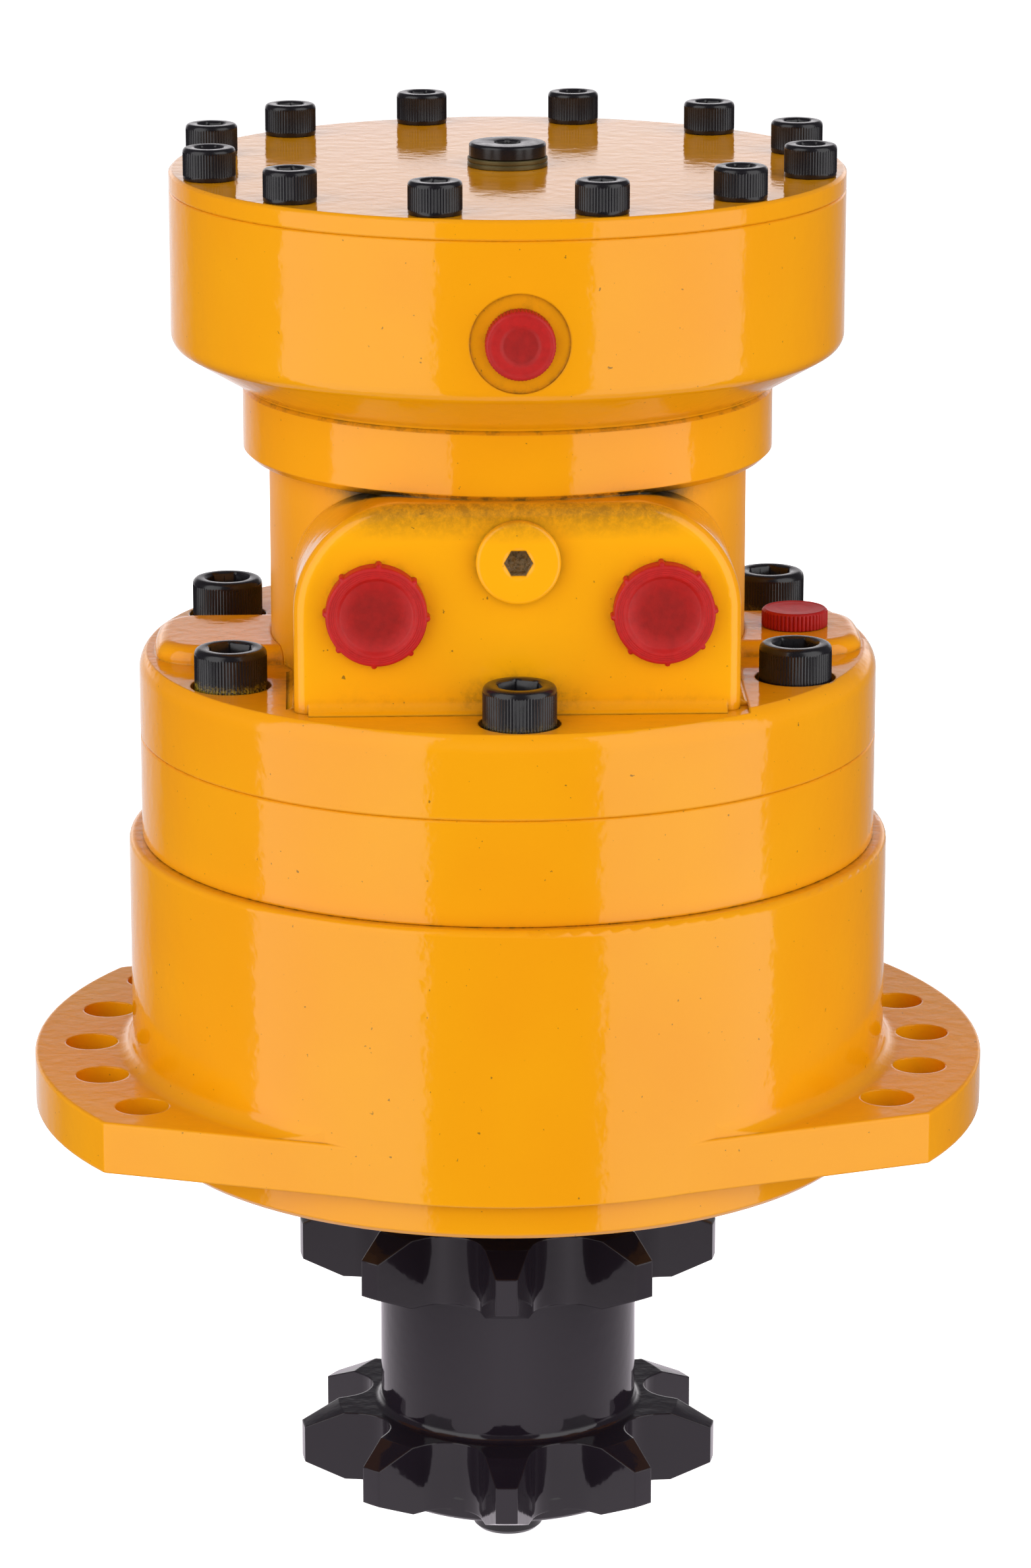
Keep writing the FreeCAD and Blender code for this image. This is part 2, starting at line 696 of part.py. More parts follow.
# ---------------------------------------------------------------- distributor
Z_D0, Z_D1, Z_D2, Z_D3 = 95.55, 108.0, 122.0, 138.0
dist = rev(
    [
        (27.5, Z_D0),
        (52.0, Z_D0),
        (52.0, Z_D1),
        (48.0, Z_D1),
        (48.0, Z_D2),
        (44.0, Z_D2),
        (44.0, Z_D3 - 0.8),
        (43.2, Z_D3),
        (27.5, Z_D3),
    ]
)
cuts = [
    # pressure grooves for the two lines
    tube(44.0, 49, 112.6, 118.0),
    tube(40.5, 45, 126.0, 131.4),
    # seal grooves
    tube(49.4, 53, 100.6, 103.2),
    tube(45.4, 49, 119.0, 121.4),
    tube(41.4, 45, 133.6, 136.0),
]
for k in range(12):
    d = 15.0 + 30.0 * k
    a = math.radians(d)
    ux, uy = math.sin(a), -math.cos(a)
    top = 115.3 if k % 2 == 0 else 128.7
    cuts.append(cyl(3.4, Z_D0 - 1, top, 38.5 * ux, 38.5 * uy))
    cuts.append(Part.makeCylinder(2.4, 12.0, V(38.5 * ux, 38.5 * uy, top), V(ux, uy, 0)))
for k in range(6):
    x, y = at(35.0, 60.0 * k)
    cuts.append(cyl(3.3, Z_D3 - 11.0, Z_D3 + 1, x, y))
dist = dist.cut(cuts)
put("distributor", dist)
put(
    "distributor_seals",
    group(
        [
            ring_around(50.74, 101.9, 1.3, 1.25),
            ring_around(46.74, 120.2, 1.3, 1.15),
            ring_around(42.74, 134.8, 1.3, 1.15),
        ]
    ),
)


def coil(radius, wire_r, height, pitch, x, y, z):
    helix = Part.makeHelix(pitch, height, radius)
    circle = Part.Wire([Part.Circle(V(radius, 0, 0), V(0, 1, 0), wire_r).toShape()])
    s = Part.Wire(helix).makePipeShell([circle], True, True)
    s.translate(V(x, y, z))
    return s


springs = []
for k in range(6):
    x, y = at(35.0, 60.0 * k)
    springs.append(coil(2.3, 0.5, 10.6, 2.12, x, y, Z_D3 - 10.45))
put("distributor_springs", group(springs))

# ---------------------------------------------------------------- valving cover
base = rev(
    [
        (0, Z_CAM_TOP),
        (R_VALVE - 0.45, Z_CAM_TOP),
        (R_VALVE, Z_CAM_TOP + 0.45),
        (R_VALVE, Z_CAST_TOP),
        (0, Z_CAST_TOP),
    ]
)
base = fillet_circles(base, [(R_VALVE, Z_CAST_TOP, 6.0)])
# machined floors cut the rounded shoulder: one level all round, a higher one at the right front screw
low_floor = Part.makeBox(240, 240, 10, V(-120, -120, Z_VALVE_FLANGE_TOP))
low_floor = low_floor.cut(Part.makeBox(80, 100, 12, V(56, -100, Z_VALVE_FLANGE_TOP - 1)))
base = base.cut([low_floor, Part.makeBox(80, 102, 10, V(55, -101, Z_FLOOR_RIGHT))])
neck = cyl(R_NECK, Z_CAM_TOP + 5, Z_RING_TOP - 2)
ring = rev(
    [
        (0, Z_RING_BOT),
        (R_RING - 1.6, Z_RING_BOT),
        (R_RING, Z_RING_BOT + 1.6),
        (R_RING, Z_RING_TOP - 0.9),
        (R_RING - 0.9, Z_RING_TOP),
        (0, Z_RING_TOP),
    ]
)


def rounded_block(half_w, corner, y_front, y_back, z_bot, z_top):
    """Port block seen from the front: straight sides, large rounded top corners."""
    p = [
        V(-half_w, 0, z_bot),
        V(-half_w, 0, z_top - corner),
        V(-half_w + corner * (1 - math.sqrt(0.5)), 0, z_top - corner * (1 - math.sqrt(0.5))),
        V(-half_w + corner, 0, z_top),
        V(half_w - corner, 0, z_top),
        V(half_w - corner * (1 - math.sqrt(0.5)), 0, z_top - corner * (1 - math.sqrt(0.5))),
        V(half_w, 0, z_top - corner),
        V(half_w, 0, z_bot),
    ]
    w = Part.Wire(
        [
            Part.LineSegment(p[0], p[1]).toShape(),
            Part.Arc(p[1], p[2], p[3]).toShape(),
            Part.LineSegment(p[3], p[4]).toShape(),
            Part.Arc(p[4], p[5], p[6]).toShape(),
            Part.LineSegment(p[6], p[7]).toShape(),
            Part.LineSegment(p[7], p[0]).toShape(),
        ]
    )
    f = Part.Face(w)
    f.translate(V(0, y_front, 0))
    return f.extrude(V(0, y_back - y_front, 0))


block_body = rounded_block(FACE_HALF_W, FACE_CORNER_R, Y_FACE, -20.0, Z_VALVE_FLANGE_TOP - 12, Z_RING_BOT + 0.5)
try:
    rim = [
        e
        for e in block_body.Edges
        if abs(e.BoundBox.YMin - Y_FACE) < 1e-4
        and abs(e.BoundBox.YMax - Y_FACE) < 1e-4
        and e.BoundBox.ZMax > Z_VALVE_FLANGE_TOP
    ]
    filleted = block_body.makeFillet(3.2, rim)
    if filleted.isValid():
        block_body = filleted
except Exception as err:
    print("block fillet", err)


def edges_at_top(shape, z, far):
    return [
        e
        for e in shape.Edges
        if abs(e.BoundBox.ZMin - z) < 1e-4 and abs(e.BoundBox.ZMax - z) < 1e-4 and e.BoundBox.XMax > far
    ]


def slab(radius, half_w, corner, z0, z1, top):
    """Raised cast area on the flange: bounded by two sides and the rim, rounded in plan and over its top edge."""
    p = cyl(radius, z0, z1).common(Part.makeBox(120, 2 * half_w, z1 - z0 + 2, V(30, -half_w, z0 - 1)))
    upright = [e for e in p.Edges if e.BoundBox.ZLength > z1 - z0 - 0.01 and e.BoundBox.XMin > 50]
    p = p.makeFillet(corner, upright)
    return p.makeFillet(top, edges_at_top(p, z1, 60))


pad_right = slab(89.7, 19.0, 12.0, Z_VALVE_FLANGE_TOP - 3, Z_PAD_TOP, 3.3)
pad_left = turned(slab(89.4, 19.5, 11.0, Z_VALVE_FLANGE_TOP - 3, Z_PAD_TOP, 3.6), 180)


def foot(length, rad, z):
    """Cast fillet along +X: wall plane y=0 behind it, floor plane z."""
    p = [V(0, -rad, z), V(0, -rad, z - 1), V(0, 1, z - 1), V(0, 1, z + rad), V(0, 0, z + rad)]
    mid = V(0, -rad + rad * math.sqrt(0.5), z + rad - rad * math.sqrt(0.5))
    w = [Part.LineSegment(p[i], p[i + 1]).toShape() for i in range(4)] + [Part.Arc(p[4], mid, p[0]).toShape()]
    return Part.Face(Part.Wire(w)).extrude(V(length, 0, 0))


# cast fillets where the port block stands on the machined floors
front_foot = moved(foot(101.6, 3.0, Z_VALVE_FLANGE_TOP), -50.8, Y_FACE, 0)
right_foot = moved(turned(foot(38.0, 2.0, Z_FLOOR_RIGHT), 90), FACE_HALF_W, -65.0, 0)
left_foot = moved(turned(foot(38.0, 2.0, Z_VALVE_FLANGE_TOP), -90), -FACE_HALF_W, -27.0, 0)
valve = base.fuse([neck, ring, block_body, pad_right, pad_left, front_foot, right_foot, left_foot]).removeSplitter()

cuts = [
    # stepped seat of the distributor
    cyl(52.06, Z_CAM_TOP - 1, Z_D1 + 0.6),
    cyl(48.06, Z_CAM_TOP - 1, Z_D2 + 0.6),
    cyl(44.06, Z_CAM_TOP - 1, Z_D3 + 1.0),
    # brake shaft way
    cyl(27.5, Z_CAM_TOP - 1, Z_RING_TOP + 1),
    # seat for the brake housing spigot
    cyl(58.03, 178.0, Z_RING_TOP + 1),
    rev([(58.0, Z_RING_TOP + 0.1), (59.0, Z_RING_TOP + 0.1), (58.0, Z_RING_TOP - 0.9)]),
]
# main screw holes and counterbores
for d in M12_DEG:
    x, y = at(M12_PCR, d)
    cuts.append(cyl(6.5, Z_CAM_TOP - 1, Z_VALVE_FLANGE_TOP + 2, x, y))
    cuts.append(cyl(10.0, M12_HEAD_Z, Z_VALVE_FLANGE_TOP + 12, x, y))
for d in (30, 210):
    x, y = at(M12_PCR, d)
    cuts.append(cyl(4.02, Z_CAM_TOP - 1, Z_CAM_TOP + 10, x, y))
for x, level in ((PORT_MID - PORT_X, 115.3), (PORT_MID + PORT_X, 128.7)):
    # cap seat, thread, drill point, then the way down and in to its groove
    cuts.append(cyl_y(11.6, x, PORT_Z, Y_FACE - 5, Y_FACE + 5.0))
    cuts.append(cyl_y(PORT_R, x, PORT_Z, Y_FACE - 1, Y_FACE + 21.0))
    cuts.append(cyl(4.5, level - 3, PORT_Z, x, -50.5))
    a = math.atan2(x, 50.5)
    cuts.append(Part.makeCylinder(3.2, math.hypot(x, 50.5) - 42.0, V(x, -50.5, level), V(-math.sin(a), math.cos(a), 0)))
# flushing plug hole at the middle of the face
cuts.append(cyl_y(7.05, 0, PLUG_Z, Y_FACE - 5, Y_FACE + 14.0))
cuts.append(cyl_y(3.0, 0, PLUG_Z, Y_FACE, -26.0))
# drain port on the right pad
cuts.append(cyl(7.4, Z_PAD_TOP - 4.0, Z_PAD_TOP + 3, DRAIN_X, 0))
cuts.append(cyl(SMALL_PORT_R, Z_PAD_TOP - 17.0, Z_PAD_TOP + 1, DRAIN_X, 0))
cuts.append(cyl(2.0, Z_CAM_TOP - 1, Z_PAD_TOP - 10, DRAIN_X, 0))
# threaded holes for the brake housing bolts
for k in range(8):
    x, y = at(46.0, 22.5 + 45 * k)
    cuts.append(cyl(4.05, 160.0, 179.0, x, y))
valve = valve.cut(cuts)
# the casting is stored as two touching solids: flange with its pads, and all that stands on it
upper = cyl(R_NECK, Z_VALVE_FLANGE_TOP, Z_RING_TOP + 1).fuse(
    [
        cyl(R_RING + 0.1, 150.0, Z_RING_TOP + 1),
        Part.makeBox(112.5, 53.1, 69.5, V(-56.3, Y_FACE - 3.1, Z_VALVE_FLANGE_TOP)),
    ]
)
put("valving_cover", valve.cut(upper))
put("valving_cover_neck", valve.common(upper))

# ---------------------------------------------------------------- main screws
screws = []
for d in M12_DEG:
    x, y = at(M12_PCR, d)
    s = cap_screw(9.0, 12.0, 6.0, 80.0, 10.0, 6.0, 0.13 * d, 0.9)
    screws.append(moved(s, x, y, M12_HEAD_Z))
put("main_screws", group(screws))

# ---------------------------------------------------------------- brake housing
bh = rev(
    [
        (0, 178.0),
        (57.2, 178.0),
        (58.0, 178.8),
        (58.0, Z_RING_TOP),
        (R_RING - 0.5, Z_RING_TOP),
        (R_RING + 0.2, Z_RING_TOP + 0.7),
        (R_BRAKE, Z_BRAKE_CYL_BOT),
        (R_BRAKE, Z_BRAKE_SEAM - 0.4),
        (R_BRAKE - 0.4, Z_BRAKE_SEAM),
        (0, Z_BRAKE_SEAM),
    ]
)
bh = fillet_circles(bh, [(R_BRAKE, Z_BRAKE_CYL_BOT, 4.0)])
cuts = [
    cyl(24.0, 177.0, 194.0),
    cyl(56.5, 193.5, 205.0),
    cyl(60.0, 204.0, 211.0),
    cyl(67.0, 210.0, Z_BRAKE_SEAM + 1),
    # O-ring groove on the spigot
    tube(56.0, 59.0, 180.4, 182.8),
    # spot face, cap seat, thread and drilling of the brake port
    cyl_y(12.0, 0, BRAKE_PORT_Z, -95.0, BRAKE_PORT_FLAT_Y),
    cyl_y(7.4, 0, BRAKE_PORT_Z, -90.0, BRAKE_PORT_FLAT_Y + 3.6),
    cyl_y(SMALL_PORT_R, 0, BRAKE_PORT_Z, -84.0, -70.0),
    cyl_y(1.3, 0, 211.35, -71.0, -66.0),
    # O-ring groove in the cover face
    tube(68.6, 71.0, Z_BRAKE_SEAM - 1.7, Z_BRAKE_SEAM + 0.5),
]
for k in range(8):
    a = 22.5 + 45 * k
    x, y = at(46.0, a)
    cuts.append(cyl(4.4, 177.0, 190.0, x, y))
    cuts.append(cyl(7.0, 184.9, 194.0, x, y))
    slot = Part.makeBox(10.4, 12.0, 10.5, V(-5.2, -60.0, 193.5))
    cuts.append(turned(slot, 45 * k))
for k in range(12):
    x, y = at(M8_PCR, 15 + 30 * k)
    cuts.append(cyl(4.05, 213.0, Z_BRAKE_SEAM + 1, x, y))
bh = bh.cut(cuts)
put("brake_housing", bh)

bolts = []
for k in range(8):
    x, y = at(46.0, 22.5 + 45 * k)
    bolts.append(moved(cap_screw(6.5, 8.0, 4.0, 22.0, 6.0, 4.0, 5.0 * k), x, y, 184.9))
put("brake_housing_bolts", group(bolts))
o_rings = [ring_around(57.02, 181.6, 1.0, 1.15)]

# ---------------------------------------------------------------- brake shaft and discs
brake_shaft = rev(
    [
        (0, 80.6),
        (23.4, 80.6),
        (24.2, 81.4),
        (24.2, 95.0),
        (18.0, 97.5),
        (18.0, 190.0),
        (20.0, 194.3),
        (31.6, 194.3),
        (32.0, 194.7),
        (32.0, 205.0),
        (31.0, 206.0),
        (12.0, 206.0),
        (12.0, 197.5),
        (0, 196.0),
    ]
)
brake_shaft = brake_shaft.fuse(spline_solid(24.0, 26.0, 28, 81.4, 95.0))
brake_shaft = brake_shaft.fuse(spline_solid(31.8, 34.0, 36, 194.4, 205.0)).removeSplitter()
brake_shaft = turned(brake_shaft, SPROCKET_TURN)
put("brake_shaft", brake_shaft)

DISC_T = 1.2
steel, friction = [], []
z = 193.6
for i in range(9):
    if i % 2 == 0:
        d = tube(37.0, 56.2, z, z + DISC_T)
        tabs = []
        for k in range(8):
            tabs.append(turned(Part.makeBox(10.0, 6.0, DISC_T, V(-5.0, -59.6, z)), 45 * k))
        d = d.fuse(tabs).removeSplitter()
        steel.append(d)
    else:
        d = cyl(55.0, z + 0.02, z + DISC_T - 0.02).cut(
            turned(spline_solid(32.0, 34.0, 36, z - 1, z + 3, 0.08), SPROCKET_TURN)
        )
        friction.append(d)
    z += DISC_T
put("brake_steel_discs", group(steel))
put("brake_friction_discs", group(friction))

# ---------------------------------------------------------------- brake piston and spring
bp = rev(
    [
        (38.0, 204.42),
        (59.2, 204.42),
        (59.95, 205.1),
        (59.95, 212.6),
        (66.95, 212.6),
        (66.95, 223.4),
        (66.3, 224.0),
        (14.0, 224.0),
        (12.5, 222.5),
        (5.1, 222.5),
        (5.1, 211.0),
        (12.0, 211.0),
        (14.0, 214.5),
        (36.0, 214.5),
        (38.0, 212.5),
    ]
)
bp = bp.cut([tube(57.8, 61, 205.9, 208.2), tube(64.6, 68, 215.8, 219.0)])
put("brake_piston", bp)
put(
    "brake_piston_seals",
    group([ring_around(58.9, 207.05, 1.04, 1.1), ring_around(65.8, 217.4, 1.14, 1.5)]),
)
put("brake_spring", rev([(62.0, 224.05), (62.0, 228.0), (36.0, 230.95), (36.0, 227.0)]))

# ---------------------------------------------------------------- brake cover, screws and plug
cover = rev(
    [
        (0, 231.0),
        (66.2, 231.0),
        (66.9, 231.7),
        (66.9, Z_BRAKE_SEAM),
        (R_BRAKE - 0.4, Z_BRAKE_SEAM),
        (R_BRAKE, Z_BRAKE_SEAM + 0.4),
        (R_BRAKE, Z_COVER_TOP - 0.7),
        (R_BRAKE - 0.7, Z_COVER_TOP),
        (0, Z_COVER_TOP),
    ]
)
cuts = [cyl(7.05, 230, Z_COVER_TOP + 1)]
for k in range(12):
    x, y = at(M8_PCR, 15 + 30 * k)
    cuts.append(cyl(4.4, Z_BRAKE_SEAM - 1, Z_COVER_TOP + 1, x, y))
cover = cover.cut(cuts)
put("brake_cover", cover)
o_rings.append(ring_around(69.8, Z_BRAKE_SEAM - 0.85, 1.12, 0.83))
put("brake_o_rings", group(o_rings))

screws = []
for k in range(12):
    x, y = at(M8_PCR, 15 + 30 * k)
    screws.append(moved(cap_screw(6.5, 8.0, 4.0, 25.0, 6.0, 4.0, 11.0 * k), x, y, Z_COVER_TOP))
put("brake_cover_screws", group(screws))

plug = rev(
    [
        (0, 230.5),
        (6.2, 230.5),
        (7.0, 231.3),
        (7.0, Z_COVER_TOP + 2.4),
        (9.3, Z_COVER_TOP + 2.4),
        (9.6, Z_COVER_TOP + 2.7),
        (9.6, Z_COVER_TOP + 5.2),
        (8.9, Z_COVER_TOP + 5.9),
        (0, Z_COVER_TOP + 5.9),
    ]
).cut(hexagon(6.0, Z_COVER_TOP - 1.0, Z_COVER_TOP + 7, 0))
put("brake_release_plug", plug)
put("brake_release_plug_seal", tube(7.1, 10.0, Z_COVER_TOP, Z_COVER_TOP + 2.4))

# ---------------------------------------------------------------- flushing plug on the face
fp = rev(
    [
        (0, -13.0),
        (6.2, -13.0),
        (7.0, -12.2),
        (7.0, 1.2),
        (9.8, 1.2),
        (10.2, 1.6),
        (10.2, 3.4),
        (9.5, 4.1),
        (0, 4.1),
    ]
).cut(hexagon(6.0, -1.5, 6.0, 0))
fp.rotate(V(0, 0, 0), V(1, 0, 0), 90)      # head towards -Y
fp.translate(V(0, Y_FACE, PLUG_Z))
put("flushing_plug", fp)
fs = tube(7.1, 9.9, 0.0, 1.2)
fs.rotate(V(0, 0, 0), V(1, 0, 0), 90)
fs.translate(V(0, Y_FACE, PLUG_Z))
put("flushing_plug_seal", fs)


# ---------------------------------------------------------------- red port caps
def big_cap(turn):
    """Push-in port cap with eight rim ribs. Face towards +Z, seat plane z=0."""
    s = rev(
        [
            (0, 1.2),
            (9.6, 1.2),
            (9.6, -4.6),
            (10.9, -4.6),
            (11.3, -4.0),
            (11.3, 0.0),
            (12.3, 0.0),
            (12.3, 4.2),
            (11.8, 4.7),
            (10.2, 4.7),
            (9.4, 3.6),
            (0, 3.4),
        ]
    )
    ribs = [turned(cyl(0.75, 0.0, 4.2, 12.45, 0.0), 45 * k + turn) for k in range(8)]
    return s.fuse(ribs).removeSplitter()


def small_cap():
    s = rev(
        [
            (0, 1.2),
            (5.4, 1.2),
            (5.4, -3.4),
            (6.8, -3.4),
            (7.15, -3.0),
            (7.15, 0.0),
            (8.4, 0.0),
            (8.4, 4.1),
            (7.9, 4.6),
            (0, 4.6),
        ]
    )
    return s


for name, x, turn in (("port_cap_a", PORT_MID - PORT_X, -3.0), ("port_cap_b", PORT_MID + PORT_X, 3.5)):
    c = big_cap(turn)
    c.rotate(V(0, 0, 0), V(1, 0, 0), 90)
    c.translate(V(x, Y_FACE, PORT_Z))
    put(name, c)
c = small_cap()
c.rotate(V(0, 0, 0), V(1, 0, 0), 90)
c.translate(V(0, BRAKE_PORT_FLAT_Y, BRAKE_PORT_Z))
put("brake_port_cap", c)
put("drain_port_cap", moved(small_cap(), DRAIN_X, 0, Z_PAD_TOP))
print("nodes", len(PARTS))
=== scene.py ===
import math

import bpy
import bmesh
from mathutils import Matrix, Vector


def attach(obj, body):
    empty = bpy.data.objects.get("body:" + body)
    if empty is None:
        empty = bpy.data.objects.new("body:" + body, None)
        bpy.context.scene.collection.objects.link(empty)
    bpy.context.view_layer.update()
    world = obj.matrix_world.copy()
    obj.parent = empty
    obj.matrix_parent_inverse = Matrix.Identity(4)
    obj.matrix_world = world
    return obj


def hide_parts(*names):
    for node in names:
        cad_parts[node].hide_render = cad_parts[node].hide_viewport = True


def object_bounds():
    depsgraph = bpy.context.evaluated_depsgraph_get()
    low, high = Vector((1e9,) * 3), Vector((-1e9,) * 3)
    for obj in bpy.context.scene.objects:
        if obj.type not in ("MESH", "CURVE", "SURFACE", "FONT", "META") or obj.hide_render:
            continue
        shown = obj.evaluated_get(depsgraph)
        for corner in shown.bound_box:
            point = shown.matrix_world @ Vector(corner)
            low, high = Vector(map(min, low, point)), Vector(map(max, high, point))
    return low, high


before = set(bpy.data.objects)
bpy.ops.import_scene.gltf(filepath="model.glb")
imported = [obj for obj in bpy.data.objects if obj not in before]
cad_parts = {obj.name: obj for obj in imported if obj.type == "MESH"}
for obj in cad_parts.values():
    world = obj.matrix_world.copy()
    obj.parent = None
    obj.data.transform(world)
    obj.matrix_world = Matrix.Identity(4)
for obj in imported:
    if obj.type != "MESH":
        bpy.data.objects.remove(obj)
cad_box = [list(v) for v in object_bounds()]
MM = 0.001


# ---------------------------------------------------------------- camera
scene = bpy.context.scene
cam_data = bpy.data.cameras.new("photo_camera")
cam = bpy.data.objects.new("photo_camera", cam_data)
scene.collection.objects.link(cam)
cam_data.sensor_width = 36.0
cam_data.sensor_fit = "AUTO"
cam_data.lens = 129.47
cam_data.clip_start = 0.05
cam_data.clip_end = 60.0
TILT, AZIM = math.radians(15.05), math.radians(2.13)
look = Vector((math.sin(AZIM) * math.cos(TILT), math.cos(AZIM) * math.cos(TILT), -math.sin(TILT)))
cam.location = Vector((-49.8, -1392.3, 455.4)) * MM
cam.rotation_mode = "QUATERNION"
cam.rotation_quaternion = look.to_track_quat("-Z", "Y")
scene.camera = cam
scene.view_settings.view_transform = "Standard"
scene.view_settings.look = "None"
scene.view_settings.exposure = 0.0
scene.view_settings.gamma = 1.0


# ---------------------------------------------------------------- shader helpers
class Tree:
    """Small helper round a node tree."""

    def __init__(self, name):
        self.mat = bpy.data.materials.new(name)
        self.mat.use_nodes = True
        self.nt = self.mat.node_tree
        self.nt.nodes.clear()
        self.out = self.nt.nodes.new("ShaderNodeOutputMaterial")
        self.bsdf = self.nt.nodes.new("ShaderNodeBsdfPrincipled")
        self.nt.links.new(self.bsdf.outputs["BSDF"], self.out.inputs["Surface"])
        self.coord = self.nt.nodes.new("ShaderNodeTexCoord")

    def node(self, kind, **props):
        n = self.nt.nodes.new(kind)
        for k, v in props.items():
            setattr(n, k, v)
        return n

    def link(self, a, b):
        self.nt.links.new(a, b)

    def set(self, **values):
        for k, v in values.items():
            self.bsdf.inputs[k.replace("_", " ")].default_value = v

    def noise(self, scale, detail=2.0, rough=0.5, kind="FBM"):
        n = self.node("ShaderNodeTexNoise")
        n.inputs["Scale"].default_value = scale
        n.inputs["Detail"].default_value = detail
        n.inputs["Roughness"].default_value = rough
        self.link(self.coord.outputs["Object"], n.inputs["Vector"])
        return n.outputs["Fac"]

    def ramp(self, fac, stops):
        r = self.node("ShaderNodeValToRGB")
        e = r.color_ramp.elements
        e[0].position, e[0].color = stops[0][0], stops[0][1]
        e[1].position, e[1].color = stops[-1][0], stops[-1][1]
        for p, c in stops[1:-1]:
            x = e.new(p)
            x.color = c
        self.link(fac, r.inputs["Fac"])
        return r.outputs["Color"]

    def grey(self, fac, a, b, lo=0.0, hi=1.0):
        m = self.node("ShaderNodeMapRange")
        m.inputs["From Min"].default_value = a
        m.inputs["From Max"].default_value = b
        m.inputs["To Min"].default_value = lo
        m.inputs["To Max"].default_value = hi
        self.link(fac, m.inputs["Value"])
        return m.outputs["Result"]

    def math(self, op, a, b=None):
        m = self.node("ShaderNodeMath", operation=op)
        for i, v in enumerate((a, b)):
            if v is None:
                continue
            if isinstance(v, (int, float)):
                m.inputs[i].default_value = v
            else:
                self.link(v, m.inputs[i])
        return m.outputs["Value"]

    def mix(self, fac, a, b):
        m = self.node("ShaderNodeMix", data_type="RGBA")
        for key, v in (("Factor", fac), ("A", a), ("B", b)):
            sock = [s for s in m.inputs if s.name == key and s.type == ("VALUE" if key == "Factor" else "RGBA")][0]
            if isinstance(v, (int, float)):
                sock.default_value = v
            elif isinstance(v, tuple):
                sock.default_value = v
            else:
                self.link(v, sock)
        return [s for s in m.outputs if s.type == "RGBA"][0]

    def bump(self, height, strength, distance, under_ring_shade=None):
        b = self.node("ShaderNodeBump")
        b.inputs["Strength"].default_value = strength
        b.inputs["Distance"].default_value = distance
        self.link(height, b.inputs["Height"])
        if under_ring_shade is not None:
            self.link(under_ring_shade, b.inputs["Normal"])
        return b.outputs["Normal"]

    def bevel(self, radius, samples=6):
        b = self.node("ShaderNodeBevel", samples=samples)
        b.inputs["Radius"].default_value = radius
        return b.outputs["Normal"]

    def occlusion(self, distance, samples=8):
        a = self.node("ShaderNodeAmbientOcclusion", samples=samples)
        a.inputs["Distance"].default_value = distance
        return a.outputs["AO"]


def rgba(r, g, b):
    return (r, g, b, 1.0)


